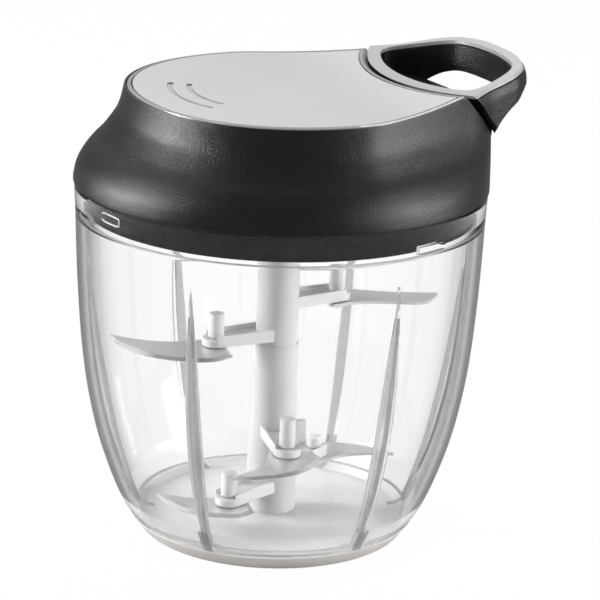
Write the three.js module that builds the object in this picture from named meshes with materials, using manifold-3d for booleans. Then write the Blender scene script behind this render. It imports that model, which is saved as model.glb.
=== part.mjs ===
// Pull-cord food chopper: a clear ribbed bowl on a soft base pad, a five-bladed
// shaft, and a black lid whose drum winds the cord of a ring handle.
// Millimetres, +Z up. The origin is the centre of the base pad's underside, on
// the axis of the shaft, and the cord is pulled along +X.
import * as THREE from 'three';
import { mergeVertices } from 'three/addons/utils/BufferGeometryUtils.js';
import Module from 'manifold-3d';

const wasm = await Module();
wasm.setup();

// Main sizes: the bowl, the lid above it and the handle's reach beyond it
const bowlHeight = 117.4;
const bowlRimRadius = 66.98;
const lidHeight = 30.7;
const handleOverhang = 10.82;
const crownHeight = bowlHeight + lidHeight;
const handleReach = bowlRimRadius + handleOverhang;

// Shared clearances and fineness
const runningGap = 0.3;
const mergeDistance = 1e-4;
const overrun = 20;
const mainSteps = 46;
const hubSteps = 28;
const smallSteps = 12;
const fullTurn = 2 * Math.PI;

// Places across the part as shares of the rim's radius, and along the bowl as
// shares of its height
const rimShares = {
  foot: 0.648, seam: 0.685, padFoot: 0.653, padRim: 0.706, bladeReach: 0.821, armReach: 0.4031,
  plateHalfLength: 0.787, plateHalfWidth: 0.833, hornX: 0.687, hornY: 0.567,
  cornerX: 0.885, cornerY: 0.448, sideStartX: 0.18, sideEndX: 0.44, sideEndY: 0.697,
  seatArc: 0.936, seatTop: 0.5166, seatSpan: 0.776, screwCircle: 0.687,
  outerGroove: 0.5614, innerGroove: 0.4688,
};
const heightShares = {
  seam: 0.045, shaftFoot: 0.12, shaftSwell: 0.17, shaftWaist: 0.385, pin: 0.1874, split: 0.5315, ribTop: 0.809,
};

// Bowl
const bowlWall = 2.6;
const bowlFloorTop = 5.0;
const bowlFootHeight = 2.1;
const bowlFootRadius = bowlRimRadius * rimShares.foot;
const bowlSeamRadius = bowlRimRadius * rimShares.seam;
const bowlSeamHeight = bowlHeight * heightShares.seam;
const floorCornerRadius = 7.0;
const rimLip = 1.2;
const bowlCurveShares = [
  [0.045, 0.709], [0.102, 0.767], [0.187, 0.827], [0.29, 0.883], [0.409, 0.927],
  [0.528, 0.955], [0.664, 0.974], [0.801, 0.986], [0.92, 0.993], [1, 1],
];
const ribCount = 6;
const firstRibAngle = THREE.MathUtils.degToRad(42);
const ribTopHeight = bowlHeight * heightShares.ribTop;
const ribDepth = 4.2;
const ribWidth = 5.4;
// Along each rib: the height, its depth and its width, all as shares
const ribShares = [
  [0, 0.3, 0.55], [0.04, 0.4, 0.58], [0.12, 0.62, 0.7], [0.25, 0.86, 0.9], [0.4, 1, 1],
  [0.58, 0.9, 0.92], [0.75, 0.62, 0.68], [0.9, 0.28, 0.38], [1, 0.04, 0.1],
];
const floorRingRadius = 21;
const floorRingHeight = 0.5;
const floorRingWidth = 5;

// Base pad
const padThickness = bowlFootHeight - runningGap;
const padFootRadius = bowlRimRadius * rimShares.padFoot;
const padRimRadius = bowlRimRadius * rimShares.padRim;
const padRimHeight = bowlSeamHeight - runningGap;
const padLipWidth = 0.9;

// Pivot pin and its boss
const pinRadius = 2.0;
const pinTop = bowlHeight * heightShares.pin;
const pinSeatDepth = 1.8;
const pinBossRadius = 3.6;
const pinBossTop = 10;

// Shaft
const shaftBottom = 5.4;
const shaftFootRadius = 7.9;
const shaftFootHeight = bowlHeight * heightShares.shaftFoot;
const shaftSwellRadius = 8.6;
const shaftSwellHeight = bowlHeight * heightShares.shaftSwell;
const shaftWaistHeight = bowlHeight * heightShares.shaftWaist;
const shaftSplitHeight = bowlHeight * heightShares.split;
const lowerShaftTopRadius = 7.4;
const upperShaftRadius = 7.0;
const upperShaftDrop = 18;
const upperShaftTop = bowlHeight - upperShaftDrop;
const shaftPegHalfWidth = 4;
const shaftPegLength = 12;
const driveHeadHalfWidth = 5.7;
const driveHeadDrop = 9.8;
const driveHeadTop = bowlHeight - driveHeadDrop;
const hexSides = 6;

// Blade arms, pegs and blades
const armReach = bowlRimRadius * rimShares.armReach;
const armRootHalfWidth = 6;
const armEndHalfWidth = 4.4;
const armThickness = 2.4;
const armRailHeight = 1.5;
const armRailWidth = 1.5;
const pegInset = 4.5;
const pegReach = armReach - pegInset;
const pegRadius = 2.65;
const pegHeight = 8;
const pegStemRadius = 1.7;
const pegHeadRadius = 3;
const pegHeadHeight = 1.1;
const pegFinReach = 5.9;
const pegFinThickness = 1.8;
const bladeThickness = 1;
const bladeBevel = 1.3;
const bladeBevelShare = 0.7;
const bladeReach = bowlRimRadius * rimShares.bladeReach;
const sickleShares = [
  [0.4, 0.2], [0.55, 0.235], [0.7, 0.155], [0.82, 0.035], [0.89, -0.11], [0.915, -0.25],
  [0.9, -0.43], [0.78, -0.28], [0.65, -0.175], [0.47, -0.13], [0.33, -0.11],
];
const knifeShares = [
  [0.4, 0.18], [0.52, 0.175], [0.62, 0.15], [0.83, -0.015], [1.052, -0.16],
  [0.98, -0.22], [0.855, -0.27], [0.63, -0.15], [0.47, -0.1], [0.33, -0.1],
];
// Each arm: how far up the bowl its underside lies, its direction, how far its
// blade is turned back on the peg, the blade's pattern and size, the height of
// the peg's grip, and the reach of the fin on some grips.
const arms = [
  {
    upper: true, heightShare: 0.6405, degrees: 6, backDegrees: 0,
    pattern: knifeShares, sizeShare: 1, gripShare: 1, finShare: 0,
  },
  {
    upper: true, heightShare: 0.5537, degrees: -174, backDegrees: 0,
    pattern: sickleShares, sizeShare: 1, gripShare: 1, finShare: 0,
  },
  {
    upper: false, heightShare: 0.2709, degrees: -102, backDegrees: 4,
    pattern: sickleShares, sizeShare: 0.84, gripShare: 1.2, finShare: 1,
  },
  {
    upper: false, heightShare: 0.149, degrees: 28, backDegrees: 0,
    pattern: sickleShares, sizeShare: 0.85, gripShare: 0.45, finShare: 0,
  },
  {
    upper: false, heightShare: 0.1073, degrees: -152, backDegrees: 22,
    pattern: sickleShares, sizeShare: 0.8, gripShare: 1, finShare: 0,
  },
];

// Lid outline, seen from above
const lidOverhang = 0.32;
const lidRadius = bowlRimRadius + lidOverhang;
const lidRimGap = 0.3;
const lidShoulderRise = 1.1;
const lidShoulderStart = bowlHeight + lidShoulderRise;
const lidWall = 3;
const lidDeckThickness = 2.2;
const lidLipDrop = 0.25;
const lidLipInset = 0.3;
const plateCentreX = 3;
const plateHalfLength = bowlRimRadius * rimShares.plateHalfLength;
const plateHalfWidth = bowlRimRadius * rimShares.plateHalfWidth;
const plateSquarenessShare = 2.15;
const sideStartX = bowlRimRadius * rimShares.sideStartX;
const sideEndX = bowlRimRadius * rimShares.sideEndX;
const sideEndY = bowlRimRadius * rimShares.sideEndY;
const hornX = bowlRimRadius * rimShares.hornX;
const hornY = bowlRimRadius * rimShares.hornY;
const frontSetback = 0.5;
const frontReach = lidRadius - frontSetback;
const frontCornerX = bowlRimRadius * rimShares.cornerX;
const frontCornerY = bowlRimRadius * rimShares.cornerY;
const lidOutlineSteps = 50;
const shoulderShares = [
  [0, 0], [0.12, 0.035], [0.23, 0.099], [0.35, 0.21], [0.465, 0.361],
  [0.585, 0.548], [0.7, 0.716], [0.815, 0.833], [0.93, 0.914], [1, 0.955],
];

// The top surface, which sweeps up towards the handle
const crownTiltShare = 0.012;
const sweepStart = 15;
const sweepReach = handleReach - sweepStart;
const sweepRise = 8.2;
const sweepCurveShare = 1.9;
const sweepSteps = 24;

// Silver plate and its trim
const plateThickness = 1.3;
const plateSeatGap = 0.3;
const trimWidth = 1.3;
const trimBevel = 0.4;
const plateGap = 0.55;
const grooveCentreX = 1;
const grooves = [
  { radius: bowlRimRadius * rimShares.outerGroove, angleShare: 0.49 },
  { radius: bowlRimRadius * rimShares.innerGroove, angleShare: 0.46 },
];
const grooveWidth = 1.9;
const grooveDepth = 0.5;

// Cord, and the hollow in the drum that it is wound on
const cordRadius = 0.8;
const windingRadius = 20;
const windingPitch = 2.1;
const windingTurns = 3.3;
const windingStepsPerTurn = 22;
const drumFlangeRadius = 23.6;
const drumFlangeThickness = 1.2;
const drumGrooveHeight = windingPitch * windingTurns + 2 * cordRadius + 4 * runningGap;

// Seat of the handle in the lid, and how far out its face is on the way down
const cordDrop = 10.1;
const cordHeight = crownHeight - cordDrop;
const seatArcRadius = bowlRimRadius * rimShares.seatArc;
const seatTopX = bowlRimRadius * rimShares.seatTop;
const seatTopRise = 1.2;
const seatTopHeight = crownHeight + seatTopRise;
const seatLedgeDrop = 16.6;
const seatLedgeHeight = crownHeight - seatLedgeDrop;
const seatLeanShare = 1.17;
const seatFaceShares = [[1, 1], [0.7, 0.765], [0.35, 0.39], [0, 0]];
const seatHalfSpan = bowlRimRadius * rimShares.seatSpan;
const seatWall = 2.4;
const seatSteps = 16;

// Handle
const handleGap = 1.7;
const handleSideShares = [
  [0.617, 0.508], [0.72, 0.44], [0.823, 0.393], [0.887, 0.359], [0.951, 0.287], [0.992, 0.154], [1, 0],
];
const handleFlare = 1.5;
const handleFlareDepth = 5;
const undersideShares = [
  [0, 0], [0.015, 0.115], [0.035, 0.255], [0.115, 0.415], [0.265, 0.58],
  [0.55, 0.725], [0.745, 0.87], [0.93, 0.985], [1.3, 1.1],
];
const undersideSetback = 0.4;
const undersideRadius = lidRadius - undersideSetback;
const undersideOverhang = 1.6;
const undersideSpread = handleReach + undersideOverhang - undersideRadius;
const undersideRise = 19;
const ringWidth = 3.6;
const holeStartShare = 0.531;
const holeStartX = handleReach * holeStartShare;
const holeEndX = handleReach - ringWidth;
const holeSideShares = [
  [0, 0], [0.03, 0.36], [0.1, 0.64], [0.21, 0.9], [0.34, 0.97],
  [0.58, 0.87], [0.84, 0.69], [0.955, 0.46], [1, 0],
];
const holeHalfWidthShare = 0.424;
const holeHalfWidth = handleReach * holeHalfWidthShare;
const holeDraftShare = 0.13;
const holeSteps = 40;
const scoopDrop = 3.6;
const scoopEndDrop = 7.4;
const scoopEndHeight = crownHeight - scoopEndDrop;
const scoopSetback = 0.3;
const scoopEndRadius = lidRadius - scoopSetback;
const inlayThickness = 1.2;
const inlayMargin = 0.35;

// Inner cover of the lid, seen as a dark band through the bowl
const coverSkirtGap = 1.4;
const coverSkirtRadius = bowlRimRadius - bowlWall - coverSkirtGap;
const coverSkirtDrop = 9;
const coverSkirtBottom = bowlHeight - coverSkirtDrop;
const coverWall = 2.5;
const coverFloorDrop = 5.8;
const coverFloorHeight = bowlHeight - coverFloorDrop;
const coverFloorThickness = 2;
const coverFloorTop = coverFloorHeight + coverFloorThickness;
const coverFlangeRadius = lidRadius - lidWall - 3 * runningGap;
const coverFlangeRise = 0.5;
const coverFlangeHeight = bowlHeight + coverFlangeRise;
const coverFlangeThickness = 2;
const coverHoleRadius = 10.2;
const lugCount = 3;
const firstLugAngle = THREE.MathUtils.degToRad(-66);
const lugHalfAngle = 0.1;
const lugHeight = 1.8;
const lugLedge = 1.6;

// Screws of the inner cover
const screwCount = 4;
const screwCircleRadius = bowlRimRadius * rimShares.screwCircle;
const screwBossRadius = 4;
const screwRadius = 1.4;
const screwLength = 10.5;
const screwHeadRadius = 3;
const screwHeadHeight = 1.6;
const screwSlotWidth = 0.9;
const screwSlotDepth = 0.8;

// Drum, axle and drive socket, stacked down from the deck of the lid
const deckDrop = plateThickness + plateSeatGap;
const deckUnderside = crownHeight - deckDrop - lidDeckThickness;
const axleRadius = 2.5;
const axleBossDepth = 3.5;
const axleBossRadius = 7;
const axleBossBottom = deckUnderside - axleBossDepth;
const axleSeatDepth = 2.5;
const axleTop = axleBossBottom + axleSeatDepth;
const axleDrop = 9.1;
const axleBottom = bowlHeight - axleDrop;
const clipRise = 0.7;
const clipHeight = axleBottom + clipRise;
const clipThickness = 0.8;
const clipRadius = 4.4;
const clipGrooveDepth = 0.8;
const washerThickness = 0.7;
const washerRadius = 5.4;
const drumEndGap = 0.4;
const drumTop = axleBossBottom - drumEndGap;
const drumGrooveTop = drumTop - drumEndGap - drumFlangeThickness;
const drumGrooveBottom = drumGrooveTop - drumGrooveHeight;
const drumFoot = drumGrooveBottom - drumFlangeThickness;
const drumHubRadius = 6.8;
const drumWeb = 2;
const drumPocketDepth = 7;
const windingBottom = drumGrooveBottom + cordRadius + 2 * runningGap;
const dogWidth = 2.4;
const dogHeight = 3;
const dogReach = 6;
const socketLift = 0.5;
const socketBottom = upperShaftTop + socketLift;
const socketTop = coverFloorTop - runningGap;
const socketRadius = 9;
const socketWeb = 2.4;
const drumHubBottom = socketTop + runningGap;

// Return spring and its housing, which take up the rest of the lid's height
const capThickness = 1;
const capGap = 0.7;
const cupRadius = 27;
const cupWall = 1.3;
const cupBottom = coverFloorTop + runningGap;
const cupFloorThickness = 1;
const cupTop = drumFoot - capGap - capThickness - runningGap;
const cupHoleRadius = 8.6;
const springStrip = 0.8;
const springInnerRadius = 8.2;
const springSideGap = 1.1;
const springOuterRadius = cupRadius - cupWall - springSideGap;
const springTurns = 5;
const springLift = 0.4;
const springBottom = cupBottom + cupFloorThickness + springLift;
const springTop = cupTop - runningGap;
const springStepsPerTurn = 18;

// Cord's way out of the lid
const eyeletSetback = 7.4;
const eyeletFlangeX = seatTopX + eyeletSetback;
const eyeletLength = 6;
const eyeletInnerEnd = eyeletFlangeX - eyeletLength;
const cordBendLead = 1.2;
const cordBendX = eyeletInnerEnd - cordBendLead;
const eyeletBore = 1.3;
const eyeletRadius = 2.1;
const eyeletFlangeRadius = 3.7;
const eyeletFlangeThickness = 1.3;
const eyeletBossRadius = 5.3;
const knotShare = 0.7455;
const knotX = handleReach * knotShare;
const knotRadius = 2.3;
const knotPocketHalf = 3;
const knotPocketStart = knotX - knotPocketHalf;
const knotPocketEnd = knotX + knotPocketHalf;
const knotPocketRadius = 2.8;

const finishes = {
  clear: { color: 0xf4f7f8, roughness: 0.05, metalness: 0, transparent: true, opacity: 0.3 },
  pad: { color: 0xded9cf, roughness: 0.6, metalness: 0 },
  steel: { color: 0xc3c6c8, roughness: 0.25, metalness: 1 },
  white: { color: 0xd6d7d4, roughness: 0.45, metalness: 0 },
  black: { color: 0x19191b, roughness: 0.5, metalness: 0 },
  band: { color: 0x2b2c30, roughness: 0.35, metalness: 0 },
  silver: { color: 0xd9dadb, roughness: 0.35, metalness: 0.7 },
  nylon: { color: 0xe8e6df, roughness: 0.5, metalness: 0 },
  cord: { color: 0xefefec, roughness: 0.8, metalness: 0 },
};

// A geometry with shared vertices, no flat triangles and its faces outward
function closedGeometry(source) {
  const bare = source.index ? source.clone() : source;
  for (const name of ['normal', 'uv']) bare.deleteAttribute(name);
  const merged = mergeVertices(bare, mergeDistance);
  const corners = merged.index.array;
  const place = merged.getAttribute('position');
  const kept = [];
  let volume = 0;
  const a = new THREE.Vector3();
  const b = new THREE.Vector3();
  const c = new THREE.Vector3();
  for (let i = 0; i < corners.length; i += 3) {
    const [p, q, r] = [corners[i], corners[i + 1], corners[i + 2]];
    if (p === q || q === r || r === p) continue;
    kept.push(p, q, r);
    a.fromBufferAttribute(place, p);
    b.fromBufferAttribute(place, q);
    c.fromBufferAttribute(place, r);
    volume += a.dot(b.cross(c));
  }
  if (volume < 0) {
    for (let i = 0; i < kept.length; i += 3) [kept[i], kept[i + 1]] = [kept[i + 1], kept[i]];
  }
  const closed = new THREE.BufferGeometry();
  closed.setAttribute('position', new THREE.BufferAttribute(new Float32Array(place.array), 3));
  closed.setIndex(kept);
  return closed;
}

function solid(geometry) {
  const closed = closedGeometry(geometry);
  return new wasm.Manifold(new wasm.Mesh({
    numProp: 3,
    vertProperties: new Float32Array(closed.getAttribute('position').array),
    triVerts: new Uint32Array(closed.index.array),
  }));
}

function geometryOf(shape) {
  const mesh = shape.getMesh();
  const geometry = new THREE.BufferGeometry();
  const places = new Float32Array(mesh.vertProperties);
  geometry.setAttribute('position', new THREE.BufferAttribute(places, 3));
  geometry.setIndex(new THREE.BufferAttribute(new Uint32Array(mesh.triVerts), 1));
  geometry.computeVertexNormals();
  return geometry;
}

// A body of revolution about Z from [radius, height] points
function turned(points, steps = mainSteps) {
  const profile = points.map(([radius, height]) => new THREE.Vector2(radius, height));
  return solid(new THREE.LatheGeometry(profile, steps).rotateX(Math.PI / 2));
}

function turnedRing(points, steps = mainSteps) {
  return turned([...points, points[0]], steps);
}

function disc(radius, low, high, steps = hubSteps) {
  return turned([[0, low], [radius, low], [radius, high], [0, high]], steps);
}

const fan = (ring) => ring.slice(2).map((_, i) => [0, i + 1, i + 2]);

// A body through rings of points that all have the same count
function lofted(given, convex = false) {
  const cap = (ring) => (convex ? fan(ring) : THREE.ShapeUtils.triangulateShape(ring, []));
  const clockwise = !convex && THREE.ShapeUtils.isClockWise(given[0]);
  const rings = clockwise ? given.map((ring) => [...ring].reverse()) : given;
  const count = rings[0].length;
  const places = rings.flat().flatMap((point) => [point.x, point.y, point.z]);
  const faces = [];
  for (let ring = 0; ring + 1 < rings.length; ring += 1) {
    for (let i = 0; i < count; i += 1) {
      const a = ring * count + i;
      const b = ring * count + (i + 1) % count;
      faces.push(a, b, b + count, a, b + count, a + count);
    }
  }
  const last = (rings.length - 1) * count;
  for (const [p, q, r] of cap(rings[0])) faces.push(r, q, p);
  for (const [p, q, r] of cap(rings.at(-1))) faces.push(last + p, last + q, last + r);
  const geometry = new THREE.BufferGeometry();
  geometry.setAttribute('position', new THREE.BufferAttribute(new Float32Array(places), 3));
  geometry.setIndex(faces);
  return solid(geometry);
}

const raised = (outline, height) => outline.map((point) => new THREE.Vector3(point.x, point.y, height));
const prism = (outline, low, high) => lofted([raised(outline, low), raised(outline, high)]);

function block(width, depth, height, x, y, z) {
  return solid(new THREE.BoxGeometry(width, depth, height).translate(x, y, z));
}

function rodAlongX(radius, start, end, height, steps = smallSteps) {
  const rod = new THREE.CylinderGeometry(radius, radius, end - start, steps).rotateZ(Math.PI / 2);
  return solid(rod.translate((start + end) / 2, 0, height));
}

function turnedBy(shape, angle) {
  return shape.rotate([0, 0, THREE.MathUtils.radToDeg(angle)]);
}

// The same outline moved inwards by a distance; it runs counter-clockwise
function inset(outline, distance) {
  return outline.map((point, i) => {
    const before = outline.at(i - 1);
    const after = outline[(i + 1) % outline.length];
    const along = new THREE.Vector2().subVectors(after, before).normalize();
    return new THREE.Vector2(point.x - along.y * distance, point.y + along.x * distance);
  });
}

// A smooth closed outline from the points of its +Y half, mirrored in X
function mirrored(half, steps) {
  const lower = half.map((point) => new THREE.Vector2(point.x, -point.y));
  const upper = [...half].reverse();
  const onAxis = (point) => Math.abs(point.y) < mergeDistance;
  const all = [...lower, ...upper.filter((point) => !onAxis(point))];
  const curve = new THREE.CatmullRomCurve3(all.map((point) => new THREE.Vector3(point.x, point.y, 0)), true);
  return curve.getSpacedPoints(steps).slice(0, steps).map((point) => new THREE.Vector2(point.x, point.y));
}

function topHeight(x) {
  const swept = Math.max(0, (x - sweepStart) / sweepReach);
  return crownHeight + crownTiltShare * x + sweepRise * swept ** sweepCurveShare;
}

// Everything between two surfaces that lie parallel to the swept top
function topBand(lowOffset, highOffset) {
  const start = -lidRadius - overrun;
  const end = handleReach + overrun;
  const stations = Array.from({ length: sweepSteps + 1 }, (_, i) => start + (end - start) * i / sweepSteps);
  const upper = stations.map((x) => new THREE.Vector2(x, topHeight(x) + highOffset));
  const lower = stations.map((x) => new THREE.Vector2(x, topHeight(x) + lowOffset)).reverse();
  const side = (y) => [...upper, ...lower].map((point) => new THREE.Vector3(point.x, point.y, y));
  const span = lidRadius + overrun;
  return lofted([side(-span), side(span)]).rotate([90, 0, 0]);
}

// Radius of the lid's outline in a direction; past the horns it runs on round
// the front, where the handle's seat cuts it away.
function lidOutlineTable() {
  const points = [];
  const steps = lidOutlineSteps;
  for (let i = 0; i <= steps; i += 1) {
    const angle = Math.PI - (Math.PI / 2) * i / steps;
    const power = 2 / plateSquarenessShare;
    const x = plateCentreX - plateHalfLength * Math.abs(Math.cos(angle)) ** power;
    points.push([x, plateHalfWidth * Math.sin(angle) ** power]);
  }
  const side = new THREE.CubicBezierCurve(
    new THREE.Vector2(plateCentreX, plateHalfWidth),
    new THREE.Vector2(sideStartX, plateHalfWidth),
    new THREE.Vector2(sideEndX, sideEndY),
    new THREE.Vector2(hornX, hornY),
  );
  const front = new THREE.QuadraticBezierCurve(
    new THREE.Vector2(frontCornerX, frontCornerY),
    new THREE.Vector2(frontReach, frontCornerY / 2),
    new THREE.Vector2(frontReach, 0),
  );
  for (const point of [...side.getPoints(steps), ...front.getPoints(steps)]) points.push([point.x, point.y]);
  return points
    .map(([x, y]) => [Math.atan2(y, x), Math.hypot(x, y)])
    .sort((one, two) => one[0] - two[0]);
}

const lidTable = lidOutlineTable();

function lidOutlineRadius(angle) {
  const turn = Math.abs(Math.atan2(Math.sin(angle), Math.cos(angle)));
  const after = lidTable.findIndex(([direction]) => direction >= turn);
  if (after <= 0) return lidTable.at(after)[1];
  const [lowAngle, lowRadius] = lidTable[after - 1];
  const [highAngle, highRadius] = lidTable[after];
  const share = (turn - lowAngle) / (highAngle - lowAngle || 1);
  return lowRadius + (highRadius - lowRadius) * share;
}

function lidOutline() {
  return Array.from({ length: lidOutlineSteps }, (_, i) => {
    const angle = fullTurn * i / lidOutlineSteps;
    const radius = lidOutlineRadius(angle);
    return new THREE.Vector2(radius * Math.cos(angle), radius * Math.sin(angle));
  });
}

// The lid's outer form, or its inner one at a wall's thickness further in
function lidForm(wall, bottom) {
  const directions = Array.from({ length: lidOutlineSteps }, (_, i) => fullTurn * i / lidOutlineSteps);
  const ring = (heightShare, inShare, lift) => directions.map((angle) => {
    const edge = lidOutlineRadius(angle);
    const radius = lidRadius + (edge - lidRadius) * inShare - wall;
    const rimHeight = topHeight(edge * Math.cos(angle)) - wall / 2;
    const height = lidShoulderStart + (rimHeight - lidShoulderStart) * heightShare + lift;
    return new THREE.Vector3(radius * Math.cos(angle), radius * Math.sin(angle), height);
  });
  const foot = directions.map((angle) => new THREE.Vector3(
    (lidRadius - wall) * Math.cos(angle),
    (lidRadius - wall) * Math.sin(angle),
    bottom,
  ));
  const rings = shoulderShares.map(([heightShare, inShare]) => ring(heightShare, inShare, 0));
  const last = shoulderShares.at(-1);
  return lofted([foot, ...rings, ring(last[0], last[1], overrun)]);
}

// The leaning, arched space that the handle nests in
function seatPocket(back, drop) {
  const depth = seatTopHeight - seatLedgeHeight;
  const ring = (height, run) => {
    const start = seatTopX + run * seatLeanShare + back;
    const arc = Array.from({ length: seatSteps + 1 }, (_, i) => {
      const y = seatHalfSpan - 2 * seatHalfSpan * i / seatSteps;
      const sag = seatArcRadius - Math.sqrt(seatArcRadius ** 2 - y ** 2);
      return new THREE.Vector3(start + sag, y, height);
    });
    const far = handleReach + 2 * overrun;
    const corners = [-seatHalfSpan, seatHalfSpan].map((y) => new THREE.Vector3(far, y, height));
    return [...arc, ...corners];
  };
  const face = seatFaceShares.map(([down, out]) => ring(seatTopHeight - depth * down, depth * out));
  const above = ring(seatTopHeight + overrun, -overrun);
  return drop > 0
    ? lofted([ring(seatLedgeHeight - drop, depth + drop), ...face, above])
    : lofted([...face, above]);
}

function bowlCurve() {
  const points = bowlCurveShares.map(([heightShare, radiusShare]) => (
    new THREE.Vector2(bowlRimRadius * radiusShare, bowlHeight * heightShare)));
  return new THREE.SplineCurve(points);
}

// Inner radius of the bowl's wall at a height
function bowlInnerRadius(height) {
  const curve = bowlCurve();
  const points = curve.getPoints(mainSteps);
  const after = Math.max(1, points.findIndex((point) => point.y >= height));
  const share = (height - points[after - 1].y) / (points[after].y - points[after - 1].y);
  return points[after - 1].x + (points[after].x - points[after - 1].x) * share - bowlWall;
}

function bowlRib() {
  const ring = (heightShare, depthShare, widthShare) => {
    const height = bowlFloorTop + (ribTopHeight - bowlFloorTop) * heightShare - runningGap;
    const wall = bowlInnerRadius(Math.max(height, bowlSeamHeight + bowlWall));
    const root = Math.min(wall + bowlWall / 3, height < bowlSeamHeight ? bowlFootRadius : bowlRimRadius);
    const nose = Math.min(wall, root) - ribDepth * depthShare;
    const width = ribWidth * widthShare;
    const corner = (radius, y) => new THREE.Vector3(radius, y, height);
    return [
      corner(root, -width / 2), corner(root, width / 2),
      corner(nose, width / 6), corner(nose, -width / 6),
    ];
  };
  return lofted(ribShares.map((shares) => ring(...shares)));
}

function sectorBlock(innerRadius, outerRadius, halfAngle, low, high) {
  const arc = (radius, sign) => [-1, 0, 1].map((step) => {
    const angle = sign * step * halfAngle;
    return new THREE.Vector2(radius * Math.cos(angle), radius * Math.sin(angle));
  });
  return prism([...arc(outerRadius, 1), ...arc(innerRadius, -1)], low, high);
}

function repeated(shape, count, firstAngle) {
  let all = turnedBy(shape, firstAngle);
  for (let i = 1; i < count; i += 1) all = all.add(turnedBy(shape, firstAngle + fullTurn * i / count));
  return all;
}

function bowl() {
  const curve = bowlCurve();
  const steps = 8;
  const outer = curve.getSpacedPoints(steps).map((point) => [point.x, point.y]);
  const inner = [];
  for (let i = steps; i > 0; i -= 1) {
    const share = i / steps;
    const point = curve.getPointAt(share);
    const along = curve.getTangentAt(share);
    inner.push([point.x - along.y * bowlWall, point.y + along.x * bowlWall]);
  }
  inner[0] = [bowlRimRadius - rimLip, bowlHeight];
  inner.splice(1, 0, [bowlRimRadius - bowlWall, bowlHeight - rimLip]);
  const wallFoot = inner.at(-1);
  const cornerStart = [wallFoot[0] - floorCornerRadius / 3, bowlFloorTop + floorCornerRadius / 5];
  const profile = [
    [0, bowlFootHeight], [bowlFootRadius, bowlFootHeight], [bowlSeamRadius, bowlSeamHeight],
    ...outer, ...inner, cornerStart,
    [wallFoot[0] - floorCornerRadius, bowlFloorTop],
    [floorRingRadius + floorRingWidth, bowlFloorTop],
    [floorRingRadius, bowlFloorTop + floorRingHeight],
    [floorRingRadius - floorRingWidth, bowlFloorTop],
    [pinBossRadius, bowlFloorTop], [pinBossRadius, pinBossTop], [0, pinBossTop],
  ];
  const lug = sectorBlock(
    coverSkirtRadius - coverWall / 2,
    bowlInnerRadius(coverSkirtBottom) + bowlWall / 2,
    lugHalfAngle - runningGap / coverSkirtRadius,
    coverSkirtBottom - lugLedge,
    coverSkirtBottom + lugHeight - runningGap,
  );
  const pinHole = disc(pinRadius + runningGap, bowlFloorTop - pinSeatDepth, pinBossTop + overrun, smallSteps);
  return turned(profile)
    .add(repeated(bowlRib(), ribCount, firstRibAngle))
    .add(repeated(lug, lugCount, firstLugAngle))
    .subtract(pinHole);
}

function basePad() {
  return turned([
    [0, 0], [padFootRadius, 0], [padRimRadius, padRimHeight],
    [padRimRadius - padLipWidth, padRimHeight],
    [bowlFootRadius + padLipWidth / 2, padThickness], [0, padThickness],
  ]);
}

function pivotPin() {
  const bottom = bowlFloorTop - pinSeatDepth + runningGap;
  const tip = pinRadius / 2;
  return turned([
    [0, bottom], [pinRadius, bottom], [pinRadius, pinTop - tip], [tip, pinTop], [0, pinTop],
  ], smallSteps);
}

const armUnderside = (arm) => bowlHeight * arm.heightShare;

// A channel-shaped arm that points along +X, with a hole for its blade's peg
function bladeArm(underside) {
  const outline = (rootHalf, endHalf, reach) => [
    new THREE.Vector2(0, -rootHalf), new THREE.Vector2(reach - endHalf, -endHalf),
    new THREE.Vector2(reach, -endHalf / 2), new THREE.Vector2(reach, endHalf / 2),
    new THREE.Vector2(reach - endHalf, endHalf), new THREE.Vector2(0, rootHalf),
  ];
  const floorTop = underside + armThickness;
  const railTop = floorTop + armRailHeight;
  const outer = prism(outline(armRootHalfWidth, armEndHalfWidth, armReach), underside, railTop);
  const channel = prism(outline(
    armRootHalfWidth - armRailWidth,
    armEndHalfWidth - armRailWidth / 2,
    armReach + overrun,
  ), floorTop, railTop + overrun);
  const hole = disc(pegStemRadius + runningGap, underside - overrun, railTop + overrun, smallSteps);
  return outer.subtract(channel).subtract(hole.translate([pegReach, 0, 0]));
}

function shaftArms(upper) {
  return arms
    .filter((arm) => arm.upper === upper)
    .map((arm) => turnedBy(bladeArm(armUnderside(arm)), THREE.MathUtils.degToRad(arm.degrees)))
    .reduce((all, arm) => all.add(arm));
}

function hexRod(halfWidth, low, high) {
  const radius = halfWidth / Math.cos(Math.PI / hexSides);
  return turned([[0, low], [radius, low], [radius, high], [0, high]], hexSides);
}

function lowerShaft() {
  const body = turned([
    [0, shaftBottom], [shaftFootRadius - runningGap, shaftBottom],
    [shaftFootRadius, shaftBottom + runningGap], [shaftFootRadius, shaftFootHeight],
    [shaftSwellRadius, shaftSwellHeight], [lowerShaftTopRadius, shaftWaistHeight],
    [lowerShaftTopRadius, shaftSplitHeight], [0, shaftSplitHeight],
  ], hubSteps);
  const bossBore = disc(pinBossRadius + 2 * runningGap, 0, pinBossTop + 2 * runningGap, smallSteps);
  const pinBore = disc(pinRadius + runningGap, 0, pinTop + runningGap, smallSteps);
  const pegSocket = hexRod(
    shaftPegHalfWidth + runningGap,
    shaftSplitHeight - shaftPegLength - runningGap,
    shaftSplitHeight + overrun,
  );
  return body.add(shaftArms(false)).subtract(bossBore).subtract(pinBore).subtract(pegSocket);
}

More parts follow.
